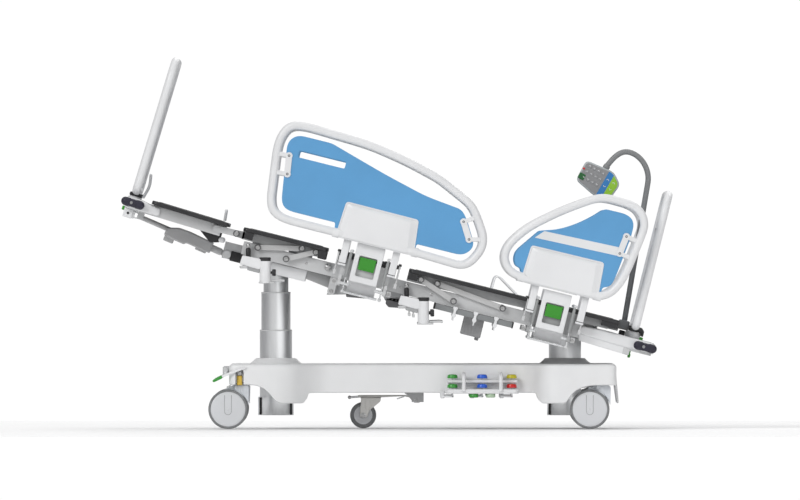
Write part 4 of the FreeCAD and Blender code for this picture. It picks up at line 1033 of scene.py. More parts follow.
def pedals():
    """Three foot rockers: cross shaft, levers and the ribbed pads on both long sides."""
    for label, x, node, (upper, lower), slot_name in PEDALS:
        body = f"{node}_rocker"
        shaft_x, shaft_z = x + PEDAL_SHAFT[0], PEDAL_SHAFT[1]
        metal = [tube_mesh([(shaft_x, -318, shaft_z), (shaft_x, 318, shaft_z)], 4.0)]
        for _, side in SIDES:
            for y, z in ((313, 157), (288, 193)):
                y0, y1 = between(side, y - 4.5, y + 4.5)
                metal.append(block_mesh((shaft_x - 4, y0, shaft_z - 2), (x + 5, y1, shaft_z + 5), 2))
                metal.append(block_mesh((x - 3.5, y0, shaft_z - 2), (x + 3.5, y1, z), 2))
        finish_piece(f"pedal_levers_{label}", joined(metal), WHITE_STEEL, body, slot_name, replaces=[node])
        for side_name, side in SIDES:
            for tier, y, base, top, material in (("lower", 313, 156, 171, lower),
                                                 ("upper", 288, 192, 207, upper)):
                pad = [(0, base), (18, base), (20, base + 1), (19.5, top - 7), (17.5, top - 2), (13, top),
                       (12.4, top - 0.6), (9.5, top - 0.6), (8.9, top), (4.5, top), (3.9, top - 0.6),
                       (0, top - 0.6)]
                lathe(f"pedal_pad_{label}_{tier}_{side_name}", pad, (x, side * y, 0), "Z", material, body,
                      slot_name,
                      count=44)


def pedal_guard(side_name, side):
    """The foot control's frame: two shelves, hooped guards, end plates and under-knobs."""
    plan_low = rounded([(187, 262), (455, 262), (455, 345), (187, 345)], [3, 3, 14, 14])
    holes = [circle(x, 305, 27, 36) for _, x, _, _, _ in PEDALS]
    shelf = flat_plate_mesh([plan_low] + holes, side, 134, 151)
    finish_piece(f"pedal_shelf_low_{side_name}", shelf, WHITE_STEEL, "base", "white_steel",
                 replaces=near_only(side, "pedal_panels"))
    plan_top = rounded([(187, 262), (455, 262), (455, 300), (187, 300)], [3, 3, 10, 10])
    finish_piece(f"pedal_shelf_top_{side_name}",
                 flat_plate_mesh([plan_top] + [circle(x, 283, 14, 24) for _, x, _, _, _ in PEDALS], side,
                                 175, 186),
                 WHITE_STEEL, "base", "white_steel")
    back = []
    for x in (187, 445):
        y0, y1 = between(side, 182, 270)
        back.append(block_mesh((x, y0, 138), (x + 10, y1, 176), 3))
    for _, x, _, _, _ in PEDALS:
        y0, y1 = between(side, 262, 271)
        back.append(block_mesh((x - 46, y0, 116), (x - 30, y1, 145), 3))
    finish_piece(f"pedal_carriers_{side_name}", joined(back), WHITE_STEEL, "base", "white_steel")
    y0, y1 = between(side, 262, 266)
    wall = block_mesh((190, y0, 147), (452, y1, 178), 1.5)
    finish_piece(f"pedal_back_wall_{side_name}", wall, WHITE_STEEL, "base", "white_steel")
    hoops = []
    for x in (250, 391):
        path = rounded([(side * 266, 143), (side * 266, 208), (side * 345, 208), (side * 345, 143)],
                       [0, 22, 30, 0], 8, closed=False)
        hoops.append(tube_mesh([(x, p.x, p.y) for p in path], 8.0))
    finish_piece(f"pedal_hoops_{side_name}", joined(hoops), WHITE_STEEL, "base", "white_steel")
    for label, x, material in (("green", 288, PEDAL_GREEN), ("pale", 352, PALE_GREEN)):
        knob = [(0, 119), (15, 119), (18, 122), (18, 131), (16, 134), (0, 134)]
        lathe(f"under_knob_{label}_{side_name}", knob, (x, side * 322, 0), "Z", material, "base",
              "pedal_green",
              count=36)
        shade = [(0, 133.5), (19, 133.5), (19, 136.5), (0, 136.5)]
        lathe(f"under_knob_seat_{label}_{side_name}", shade, (x, side * 322, 0), "Z", LIGHT_STEEL, "base",
              "white_steel", count=36)


def flat_plate_mesh(outlines, side, low, high):
    """A level plate from outlines of (along, across) points."""
    turned = []
    for outline in outlines:
        points = [Vector((point[0], side * point[1])) for point in outline]
        turned.append(points if side > 0 else list(reversed(points)))
    mesh = slab_mesh(turned, high - low, min(2.5, (high - low) * 0.4))
    mesh.transform(Matrix.Translation((0, 0, (low + high) / 2)) @ Matrix.Rotation(math.radians(-90), 4, "X"))
    return mesh


# ------------------------------------------------------------------ bed frame and platform
def deck(label, node, body, low, high, place, bottom, material_slot="deck_black", holes=()):
    """A platform panel: a thin laminate tray with raised studded fields and a rolled edge."""
    outline = rounded(rectangle(low, high, -DECK_HALF, DECK_HALF), 22)
    plate = flat_plate_mesh([outline] + list(holes), 1, bottom, bottom + 12)
    finish_piece(f"{label}_panel", plate, DECK_BLACK, body, material_slot, place=place,
                 replaces=[node] if node else ())
    fields = []
    for y0, y1 in ((-372, -138), (-118, 118), (138, 372)):
        field = rounded(rectangle(low + 24, high - 24, y0, y1), 24)
        fields.append(flat_plate_mesh([field], 1, bottom + 9, bottom + 17))
    finish_piece(f"{label}_fields", joined(fields), DECK_BLACK, body, material_slot, place=place)
    rim = rounded(rectangle(low + 4, high - 4, -DECK_HALF + 4, DECK_HALF - 4), 20)
    finish_piece(f"{label}_edge", tube_mesh([(p.x, p.y, bottom + 11.5) for p in rim], 3.6, True, 4),
                 BLACK_PLASTIC,
                 body, material_slot, place=place)


def link_slots(low, high):
    """The two slots in a platform panel over the short links' open ends."""
    slots = []
    for _, side in SIDES:
        y0, y1 = between(side, 383.5, 395.5)
        slots.append(rounded(rectangle(low, high, y0, y1), 3, 4))
    return slots


def platform():
    """The four platform panels, the black end blocks under them and the thigh section's frame."""
    deck("seat_deck", "seat_deck", "bed", -904, -658, BED, 41)
    deck("back_deck", "backrest_deck", "back", -625, 198, BED, 41, holes=link_slots(-610, -515))
    deck("thigh_deck", None, "thigh", -1273, -942, BED, 41, holes=link_slots(-1050, -955))
    deck("calf_deck", "calf_deck", "calf", -341, -36, CALF, 14)
    spacers = []
    for _, side in SIDES:
        y0, y1 = between(side, 334, 364)
        spacers.append(block_mesh((-890, y0, 4), (-672, y1, 42), 2))
    finish_piece("seat_spacers", joined(spacers), LIGHT_STEEL, "bed", "grey_steel", place=BED)
    rests = []
    for _, side in SIDES:
        y0, y1 = between(side, 334, 364)
        rests.append(block_mesh((-332, y0, -4), (-48, y1, 16), 2))
    finish_piece("calf_deck_rests", joined(rests), GREY_STEEL, "calf", "grey_steel", place=CALF)
    for side_name, side in SIDES:
        y0, y1 = between(side, 300, 316)
        stop = rounded([(-143, -12), (-143, -24), (-88, -62), (-58, -52), (-58, -12)], 4)
        slab(f"calf_stop_block_{side_name}", [stop], y0, y1, BLACK_PLASTIC, "calf", "grey_steel", edge=2,
             place=CALF)
        disc = [(0, side * 316), (10.5, side * 316), (10.5, side * 320), (8, side * 323), (0, side * 324)]
        lathe(f"calf_stop_disc_{side_name}", disc, (-49, 0, -40), "Y", WHITE_PLASTIC, "calf", "grey_steel",
              count=32, place=CALF)
    for label, body, u0, u1, v0, y_low in (("back_foot", "back", -625, -586, 15, 397),
                                           ("back_head", "back", 131, 197, 22, 378),
                                           ("thigh_head", "thigh", -975, -943, 9, 398),
                                           ("thigh_foot", "thigh", -1264, -1230, 14, 398)):
        blocks = []
        for _, side in SIDES:
            y0, y1 = between(side, y_low, 427)
            blocks.append(block_mesh((u0, y0, v0), (u1, y1, 42), 3))
        finish_piece(f"end_block_{label}", joined(blocks), BLACK_PLASTIC, body, "deck_black", place=BED)
    plates, tubes = [], []
    for _, side in SIDES:
        y0, y1 = between(side, 370, 375)
        outline = rounded([(-1273, 10), (-1170, 8), (-960, 14), (-942, 41), (-1273, 41)], 4)
        plate = slab_mesh([outline], 5, 1.0)
        plate.transform(Matrix.Translation((0, (y0 + y1) / 2, 0)))
        plates.append(plate)
        ear = slab_mesh([rounded([(-1308, 25), (-1304, 14), (-1262, 10), (-1262, 40), (-1304, 37)], 8)], 5,
                        1.0)
        ear.transform(Matrix.Translation((0, (y0 + y1) / 2, 0)))
        plates.append(ear)
    for u in (-1262, -985):
        tubes.append(block_mesh((u, -371, 14), (u + 30, 371, 41), 3))
    finish_piece("thigh_side_plates", joined(plates), GREY_STEEL, "thigh", "deck_black", place=BED,
                 replaces=["thigh_section"])
    finish_piece("thigh_cross_tubes", joined(tubes), LIGHT_STEEL, "thigh", "deck_black", place=BED)


FRAME_PINS = (("bed", -1204, -6.5, 387.6), ("bed", -1089, -23, 396.6), ("bed", -245, -6, 387.6),
              ("bed", -433, -25, 396.6), ("thigh", -1040, 30, 384.3), ("back", -508, 25, 384.3),
              ("back_short", -573, 25, 393.2), ("thigh_short", -985, 30, 393.2), ("thigh", -1295, 25, 384.3))


def frame_hardware():
    """Kept CAD frames in powder coat, with bolt heads on every link pivot and along the beams."""
    keep("main_frame", LIGHT_STEEL, 1.6)
    keep("base_frame", LIGHT_STEEL, 1.6)
    keep("backrest_frame", GREY_STEEL, 1.4)
    keep("calf_frame", LIGHT_STEEL, 1.4)
    for node in ("backrest_long_links", "backrest_short_links", "thigh_long_links", "thigh_short_links"):
        keep(node, LINK_STEEL, 1.2)
    for number, (body, u, v, y) in enumerate(FRAME_PINS):
        heads = [bolt_mesh(u, v, side * y, side, 9, 5.5) for _, side in SIDES]
        finish_piece(f"link_bolt_{number}", joined(heads), BOLT_STEEL, body, "grey_steel", place=BED)
        rings = [lathe_mesh([(8.8, side * 0.5), (12.8, side * 0.5), (12.8, side * 2.4), (8.8, side * 2.6)],
                            (u, side * y, v), "Y", 28) for _, side in SIDES]
        finish_piece(f"link_washer_{number}", joined(rings), DARK_STEEL, body, "grey_steel", place=BED)
    for side_name, side in SIDES:
        big = lathe_mesh([(0, 0), (14, 0), (14, side * 3), (12, side * 9), (7, side * 12), (0, side * 13)],
                         (-926, side * 368, -15), "Y", 28)
        finish_piece(f"frame_big_bolt_{side_name}", big, BOLT_STEEL, "bed", "grey_steel", place=BED)
        screws = []
        for u in (-1234, -1010, -640, -520, -130, 60, 150, 220):
            screws.append(screw_mesh((u, -21), side, 368.2, 5.5))
        finish_piece(f"frame_screws_{side_name}", joined(screws), BOLT_STEEL, "bed", "grey_steel", place=BED)
        link = slab_mesh([rounded([(-908, -113), (-880, -113), (-877, -44), (-908, -44)], [12, 12, 3, 3])],
                         6, 1)
        link.transform(Matrix.Translation((0, side * 352, 0)))
        finish_piece(f"drive_link_{side_name}", link, LIGHT_STEEL, "bed", "grey_steel", place=BED)
        finish_piece(f"drive_link_bolt_{side_name}", bolt_mesh(-893, -100, side * 355, side, 6, 5),
                     BOLT_STEEL, "bed",
                     "grey_steel", place=BED)
        wire = rounded([(-304, 58), (-302, 118), (-206, 58)], [0, 34, 0], 10, closed=False)
        tube(f"bag_loop_{side_name}", [(p.x, side * 421, p.y) for p in wire], 3.8, WHITE_STEEL, "back",
             "white_steel",
             place=BED)


def retainer(name, low_path, half, radius):
    """A mattress retainer on the calf section: a bent rod from one foot, over, and down to the other."""
    rise = [Vector(point) for point in low_path]
    up = [Vector((p.x, -half, p.y)) for p in rise]
    down = [Vector((p.x, half, p.y)) for p in reversed(rise)]
    path = rounded(up + down, 18, 6, closed=False)
    tube(name, path, radius, WHITE_STEEL, "calf", "grey_steel", place=CALF)


def capsule_profile(low, high, radius):
    """A bumper's section along its axis: domed ends and a shallow centre band."""
    steps = [math.radians(a) for a in (0, 20, 40, 60, 80)]
    start = [(radius * math.sin(t), low + radius * (1 - math.cos(t))) for t in steps]
    middle = (low + high) / 2
    band = [(radius, low + radius), (radius, middle - 14), (radius - 1.6, middle - 12),
            (radius - 1.6, middle + 12),
            (radius, middle + 14), (radius, high - radius)]
    end = [(radius * math.sin(t), high - radius * (1 - math.cos(t))) for t in reversed(steps)]
    return start + band + end


def bumpers(label, body, place, low, high, v):
    """A corner bumper roller on each side, with its bright centre stud and white bracket."""
    rolls, studs, stands = [], [], []
    for _, side in SIDES:
        rolls.append(lathe_mesh(capsule_profile(low, high, 16.9), (0, side * BUMPER_SIDE, v), "X", 40))
        middle = (low + high) / 2 - 6
        studs.append(lathe_mesh([(0, side * 14), (6, side * 14.5), (5, side * 17.6), (0, side * 18.4)],
                                (middle, side * BUMPER_SIDE, v), "Y", 20))
        y0, y1 = between(side, 374, 396)
        stands.append(block_mesh((low + 28, y0, v - 11), (high - 28, y1, v + 11), 4))
    finish_piece(f"{label}_bumpers", joined(rolls), BUMPER_NAVY, body, "end_cover_white", place=place)
    finish_piece(f"{label}_bumper_studs", joined(studs), ACTUATOR_GREY, body, "end_cover_white", place=place)
    finish_piece(f"{label}_bumper_stands", joined(stands), WHITE_PLASTIC, body, "end_cover_white",
                 place=place)


def head_end():
    """Moulded side shells in two tiers, the end cap, bumpers and the board's sockets."""
    for side_name, side in SIDES:
        low, high = between(side, 367, 380)
        upper = [(47, -22), (70, -30), (150, -34), (262, -37), (338, -36), (351, -26), (351, -6), (338, 2),
                 (200, 6),
                 (120, 6), (62, 2)]
        slab(f"head_shell_upper_{side_name}", [rounded(upper, 14)], low, high, WHITE_PLASTIC, "bed",
             "end_cover_white", edge=6, place=BED, replaces=near_only(side, "head_end_cover"))
        lower = [(64, -55), (258, -64), (262, -28), (56, -26)]
        low, high = between(side, 360, 371)
        slab(f"head_shell_lower_{side_name}", [rounded(lower, 5)], low, high, WHITE_PLASTIC, "bed",
             "end_cover_white", edge=3, place=BED)
        y0, y1 = between(side, 330, 373)
        block(f"head_end_block_{side_name}", (236, y0, -63), (262, y1, -34), LIGHT_STEEL, "bed",
              "end_cover_white", edge=3, place=BED)
    cap = block_mesh((344, -379, -38), (351.8, 379, 2), 3.5)
    finish_piece("head_end_cap", cap, WHITE_PLASTIC, "bed", "end_cover_white", place=BED)
    bumpers("head", "bed", BED, 270.2, 360.8, -18)
    for side_name, side in SIDES:
        y = side * POST_SIDE
        lathe(f"head_post_cup_{side_name}", [(12.2, 4), (24, 4), (25.5, 8), (25.5, 24), (23, 28), (12.2, 28)],
              (262, y, 0), "Z", LIGHT_STEEL, "bed", "end_cover_white", place=BED)
        latch = [(241, 32), (288, 32), (291, 17), (299, 17), (299, 38), (287, 50), (241, 48)]
        low, high = between(side, 280, 322)
        slab(f"head_post_latch_{side_name}", [rounded(latch, 4)], low, high, BLACK_PLASTIC, "head_board",
             "board_panel", edge=2.5, place=BED)
        tab = slab_mesh([rounded([(291, -6), (299, -6), (301, 14), (292, 15)], 3)], 16, 3)
        tab.transform(Matrix.Translation((0, y, 0)))
        finish_piece(f"head_release_{side_name}", tab, RELEASE_GREEN, "bed", "release_green", place=BED)
    pull = lathe_mesh([(0, -73), (4.0, -73), (5.5, -68), (5.5, -60), (3, -57), (3, -38), (0, -38)],
                      (268, 0, 0), "Z", 18)
    finish_piece("head_pull_pin", pull, RELEASE_GREEN, "bed", "release_green", place=BED)


def foot_end():
    """The foot end moulding: side shells, skirt, bumpers, board sockets and release tabs."""
    for side_name, side in SIDES:
        low, high = between(side, 368, 380)
        shell = [(-300, -18), (-312, -24), (-372, -24), (-428, -26), (-436, -18), (-436, 12), (-426, 20),
                 (-388, 18),
                 (-340, 9), (-304, 9)]
        slab(f"foot_shell_{side_name}", [rounded(list(reversed(shell)), 8)], low, high, WHITE_PLASTIC, "calf",
             "end_cover_white", edge=5, place=CALF, replaces=near_only(side, "foot_end_cover"))
        y = side * POST_SIDE
        block(f"foot_lock_block_{side_name}", (-436, y - 22, -62), (-400, y + 22, -24), WHITE_PLASTIC, "calf",
              "end_cover_white", edge=4, place=CALF)
        dot = lathe_mesh([(0, side * 21.5), (5, side * 21.5), (5, side * 22.8), (0, side * 23.2)],
                         (-418, y, -44), "Y", 20)
        finish_piece(f"foot_lock_dot_{side_name}", dot, BLACK_PLASTIC, "calf", "end_cover_white", place=CALF)
        block(f"foot_release_{side_name}", (-446, y - 9, -38), (-434, y + 9, -22), RELEASE_GREEN, "calf",
              "release_green", edge=2.5, place=CALF)
    skirt = block_mesh((-436, -379, -26), (-431, 379, 20), 2)
    finish_piece("foot_skirt", skirt, WHITE_PLASTIC, "calf", "end_cover_white", place=CALF)
    bumpers("foot", "calf", CALF, -455.8, -364.2, -3)
    retainer("foot_retainer", [(-384, 26), (-372, 76), (-380, 119)], 90, 4.5)
    retainer("knee_retainer", [(-60, 33), (-62, 52), (-65, 73)], 90, 5.0)


# ------------------------------------------------------------------ things hung on the frame
SOCKETS = (("foot", -504.5, 555.0, 650.0), ("head", 96.5, 399.0, 498.0))
SOCKET_SIDE = 446.0


def infusion_socket(end, x, low, high, side_name, side):
    """An upright socket: tube, black mouth ring, clamp knob, side box and bottom flange."""
    y = side * SOCKET_SIDE
    name = f"{end}_{side_name}"
    profile = [(13, low + 8), (13, high - 1), (20.5, high - 1), (21, high - 4), (21, low + 5), (19, low),
               (0, low),
               (0, low + 8)]
    first = end == "foot" and side < 0
    lathe(f"iv_tube_{name}", profile, (x, y, 0), "Z", WHITE_PLASTIC, "bed", "socket_white", count=44,
          replaces=["iv_pole_sockets"] if first else ())
    ring = [(13.2, high - 12), (13.2, high + 2.5), (19, high + 2.5), (22.2, high + 1), (22.6, high - 5),
            (21.2, high - 7), (21.2, high - 12)]
    lathe(f"iv_ring_{name}", ring, (x, y, 0), "Z", BLACK_PLASTIC, "bed", "socket_white", count=44)
    y0, y1 = between(side, 368, SOCKET_SIDE + 13)
    box_outline = [(x - 97, high - 24), (x - 25, high - 43), (x - 14, high - 40), (x - 14, high - 4),
                   (x - 86, high + 10)]
    slab(f"iv_box_{name}", [rounded(box_outline, 4)], y0, y1, WHITE_PLASTIC, "bed", "socket_white", edge=4)
    under = [(x - 68, high - 46), (x - 22, high - 58), (x - 22, high - 42), (x - 66, high - 33)]
    low_y, high_y = between(side, 400, SOCKET_SIDE + 8)
    slab(f"iv_box_base_{name}", [rounded(under, 3)], low_y, high_y, GREY_STEEL, "bed", "socket_white", edge=2)
    knobs = []
    for offset, drop in ((-54, 58), (-38, 63)) if end == "head" else ():
        knobs.append(lathe_mesh([(0, high - drop - 11), (4, high - drop - 11), (5, high - drop - 9),
                                 (5, high - drop - 3), (3, high - drop), (3, high - drop + 8),
                                 (0, high - drop + 8)],
                                (x + offset, y, 0), "Z", 20))
    foot = [(0, high - 40), (14, high - 40), (17, high - 36), (17, high - 30), (0, high - 28)]
    knobs.append(lathe_mesh(foot, (x - 80, y, 0), "Z", 28))
    finish_piece(f"iv_box_knobs_{name}", joined(knobs), LIGHT_STEEL, "bed", "socket_white")
    plan = rounded([(x - 24, SOCKET_SIDE - 19), (x + 38, SOCKET_SIDE - 12), (x + 38, SOCKET_SIDE + 12),
                    (x - 24, SOCKET_SIDE + 19)], 9)
    finish_piece(f"iv_flange_{name}", flat_plate_mesh([plan], side, low - 2, low + 5), LIGHT_STEEL, "bed",
                 "socket_white")
    knob = [(0, 20), (5, 20), (5, 26), (11, 27), (13, 30), (13, 38), (11, 41), (0, 41)]
    lathe(f"iv_clamp_knob_{name}", knob, (x, y, (low + high) / 2 - 8), "X", BLACK_PLASTIC, "bed",
          "socket_white",
          count=12)
    tube(f"iv_lever_{name}", [(x + 20, y, low + 8), (x + 60, y, low + 10), (x + 74, y, low + 8)], 4.2,
         LIGHT_STEEL,
         "bed", "socket_white")
    ball = [(0, 0), (4, 0), (7, 4), (8.5, 10), (6.5, 16), (0, 19)]
    lathe(f"iv_ball_{name}", ball, (x - 64, side * 390, high + 36), "Z", BOLT_STEEL, "bed", "socket_white",
          count=22)
    post = [(0, -52), (8.5, -52), (9.5, -50), (9.5, -6), (7.5, -2), (0, -2)]
    lathe(f"iv_stop_{name}", post, (x - 64, side * 390, high + 40), "Z", BLACK_PLASTIC, "bed",
          "socket_white", count=22)


HOURGLASS = [(-2.5, -97), (2.5, -97), (2.5, -86), (8, -80), (8, -74), (5, -68), (5, -58), (9, -50), (9, -44),
             (-9, -44),
             (-9, -50), (-5, -58), (-5, -68), (-8, -74), (-8, -80), (-2.5, -86)]


def accessory_rail(side_name, side):
    """The flat accessory rail with its stand-offs, end caps and three bag hooks."""
    low, high = between(side, 384, 392)
    slab(f"accessory_bar_{side_name}", [rounded(rectangle(-498, -194, -70, -48), 3)], low, high, RAIL_GREY,
         "bed",
         "rail_grey", edge=2.5, place=BED, replaces=near_only(side, "accessory_rails"))
    stands, caps, hooks = [], [], []
    for u in (-478, -350, -225):
        y0, y1 = between(side, 350, 385)
        stands.append(block_mesh((u, y0, -62), (u + 14, y1, -46), 2))
    for u in (-501, -196):
        y0, y1 = between(side, 382.5, 393.5)
        caps.append(block_mesh((u, y0, -71.5), (u + 6, y1, -46.5), 1.5))
    y0, y1 = between(side, 381, 398)
    for u in (-419, -339, -259):
        hook = slab_mesh([rounded([(u + x, z) for x, z in HOURGLASS], 1.2, 3)], 6.5, 1.5)
        hook.transform(Matrix.Translation((0, side * 395.4, 0)))
        hooks.append(hook)
        hooks.append(block_mesh((u - 7, y0, -48.5), (u + 7, y1, -43), 1.5))
    finish_piece(f"accessory_stands_{side_name}", joined(stands), LIGHT_STEEL, "bed", "rail_grey", place=BED)
    finish_piece(f"accessory_caps_{side_name}", joined(caps), BLACK_PLASTIC, "bed", "rail_grey", place=BED)
    finish_piece(f"accessory_hooks_{side_name}", joined(hooks), WHITE_PLASTIC, "bed", "rail_grey", place=BED)


def ribbed_box(label, low, high, ribs, body="bed", place=BED, slot_name="actuator_grey", replaces=()):
    """A moulded equipment box with a parting line and cooling ribs on its outer faces."""
    parts = [block_mesh(low, high, 5)]
    middle = (low[2] + high[2]) / 2
    parts.append(block_mesh((low[0] - 1, low[1] - 1, middle - 1.2), (high[0] + 1, high[1] + 1, middle + 1.2),
                            1))
    span = high[0] - low[0]
    for index in range(ribs):
        u = low[0] + span * (index + 1) / (ribs + 1)
        parts.append(block_mesh((u - 1.5, low[1] - 1.4, low[2] + 8), (u + 1.5, high[1] + 1.4, middle - 5),
                                0.8))
    finish_piece(label, joined(parts), ACTUATOR_GREY, body, slot_name, place=place, replaces=replaces)


DRIVE_PARTS = (
    ("link_web", 326, [(-907, -118), (-836, -99), (-846, -46), (-896, -46)], GREY_STEEL),
    ("foot_bar", 318, [(-839, -92), (-754, -88), (-753, -95), (-832, -108)], DARK_STEEL),
    ("head_web", 326, [(-713, -40), (-691, -80), (-620, -54), (-625, -40)], GREY_STEEL),
    ("head_box", 312, [(-685, -70), (-681, -97), (-667, -107), (-628, -100), (-632, -66)], DARK_STEEL),
)


def control_boxes():
    """The control unit, the motor pack and the yoke boxes under the frame."""
    ribbed_box("control_unit", (-380, -324, -138), (-301, -236, -48), 5, replaces=["control_boxes"])
    ribbed_box("motor_pack", (-689, -324, -85), (-631, -246, -48), 3)
    for side_name, side in SIDES:
        y0, y1 = between(side, 91, 325)
        block(f"yoke_box_{side_name}", (-1139, y0, -90), (-1000, y1, -47), WHITE_STEEL, "bed",
              "actuator_grey",
              edge=2, place=BED)
        y0, y1 = between(side, 300, 318)
        slab(f"drive_channel_{side_name}",
             [rounded([(-1000, -78), (-900, -92), (-900, -46), (-1000, -46)], 3)],
             y0, y1, GREY_STEEL, "bed", "actuator_grey", edge=1.5, place=BED)
        for label, inner_side, outline, material in DRIVE_PARTS:
            y0, y1 = between(side, inner_side, inner_side + 12)
            slab(f"drive_{label}_{side_name}", [rounded(outline, 3)], y0, y1, material, "bed",
                 "actuator_grey",
                 edge=1.5, place=BED)
    nub = [(0, -149), (6, -149), (8, -146), (8, -136), (0, -136)]
    lathe("control_unit_gland", nub, (-314, -280, 0), "Z", ACTUATOR_GREY, "bed", "actuator_grey", count=24,
          place=BED)
    lamps = []
    for u in (-368, -356):
        lamps.append(lathe_mesh([(0, 3.5), (2.6, 3.5), (3.2, 2.2), (3.2, 0), (0, 0)], (u, -324.5, -62), "Y",
                                16))
    finish_piece("control_unit_lamps", joined(lamps), RELEASE_GREEN, "bed", "actuator_grey", place=BED)


JACK = BED @ placed(-1315.0, -62.0, math.radians(9.47))


def calf_actuator():
    """The calf actuator: eye, gear head, motor housing, outer tube, and the thrust rod."""
    eye_profile = [(8.2, -10), (15, -10), (16, -8.5), (16, 8.5), (15, 10), (8.2, 10)]
    eye = lathe_mesh(eye_profile, (0, 0, 0), "Y", 32)
    finish_piece("calf_jack_eye", eye, WHITE_PLASTIC, "calf_jack", "actuator_grey", place=JACK)
    case = [(-62, -22), (-160, -22), (-166, -30), (-214, -30), (-250, -26), (-250, 4), (-206, 22), (-160, 25),
            (-62, 21)]
    shell = slab_mesh([rounded(case, 5)], 56, 6)
    parts = [shell, block_mesh((-26, -10, -11), (-8, 10, 11), 3),
             block_mesh((-246, -24, -46), (-206, 24, -20), 5),
             block_mesh((-120, -20, -30), (-76, 20, -18), 3)]
    neck = [(12.4, -74), (13.6, -74), (13.6, -24), (12, -22), (8, -22), (8, -30), (12.4, -30)]
    parts.append(lathe_mesh(neck, (0, 0, 0), "X", 40))
    # the body takes the lightened grey: painted light that offsets the shade on its underside
    finish_piece("calf_jack_body", joined(parts), JACK_SHADE_LIFTED_GREY, "calf_jack", "actuator_grey", place=JACK,
                 replaces=["calf_actuator_body"])
    # the thrust rod is steel but takes the same flat lightened grey: painted reflection in place of its metal
    # look
    rod = [lathe_mesh([(0, -372), (9.5, -370), (9.5, -190), (0, -190)], (0, 0, 0), "X", 36)]
    finish_piece("calf_jack_thrust_rod", joined(rod), JACK_SHADE_LIFTED_GREY, "calf_jack_rod", "column_alloy", place=JACK,
                 replaces=["calf_actuator_rod"])
    eye = lathe_mesh([(8.2, -9), (13, -9), (14, -7.5), (14, 7.5), (13, 9), (8.2, 9)], (-376.8, 0, 0), "Y", 32)
    finish_piece("calf_jack_rod_eye", eye, WHITE_PLASTIC, "calf_jack_rod", "column_alloy", place=JACK)
    pins = []
    for side_name, side in SIDES:
        cap = [(0, side * 18.6), (15, side * 18.6), (16, side * 20), (16, side * 23), (14, side * 25),
               (0, side * 26)]
        pins.append(lathe_mesh(cap, (0, 0, 0), "Y", 32))
        y0, y1 = between(side, 18.6, 24)
        block(f"fork_block_{side_name}", (-1300, y0, -82), (-1254, y1, -44), BLACK_PLASTIC, "bed",
              "grey_steel",
              edge=2, place=BED)
    finish_piece("calf_jack_pin_heads", joined(pins), WHITE_PLASTIC, "bed", "grey_steel", place=JACK)


# ------------------------------------------------------------------ hand control
HANDSET_SIDE = -250.0
HANDSET = [(-93, 535), (-15, 495), (46, 482), (76, 558), (40, 600), (-72, 618)]
HANDSET_MIDDLE = Vector((-8, 560))
HANDSET_ALONG = Vector((math.cos(math.radians(-16)), math.sin(math.radians(-16))))
HANDSET_UP = Vector((-HANDSET_ALONG.y, HANDSET_ALONG.x))


def bezier(first, second, third, fourth, count=14):
    """Points along a cubic curve."""
    points = []
    for index in range(count + 1):
        t = index / count
        a, b = first.lerp(second, t), second.lerp(third, t)
        c = third.lerp(fourth, t)
        points.append(a.lerp(b, t).lerp(b.lerp(c, t), t))
    return points


def clipped(outline, low, high):
    """The part of the handset's outline between two distances along it."""
    points = list(outline)
    for limit, sign in ((low, 1), (high, -1)):
        kept = []
        for index, here in enumerate(points):
            after = points[(index + 1) % len(points)]
            a = sign * ((here - HANDSET_MIDDLE).dot(HANDSET_ALONG) - limit)
            b = sign * ((after - HANDSET_MIDDLE).dot(HANDSET_ALONG) - limit)
            if a >= 0:
                kept.append(here)
            if a * b < 0:
                kept.append(here.lerp(after, a / (a - b)))
        points = kept
    return points


def on_handset(along_way, up):
    """A point on the handset's face."""
    return HANDSET_MIDDLE + HANDSET_ALONG * along_way + HANDSET_UP * up


def around(centre, offsets):
    """Points on the handset's face at (along, up) offsets from a centre."""
    return [centre + HANDSET_ALONG * x + HANDSET_UP * z for x, z in offsets]


def chevron_mesh(centre, half, base, peak, way, y, radius):
    """A raised chevron that points up the handset, or down it when way is -1."""
    tip = around(centre, ((-half, base * way), (0, peak * way), (half, base * way)))
    return tube_mesh([(p.x, y, p.y) for p in tip], radius, sides=2)


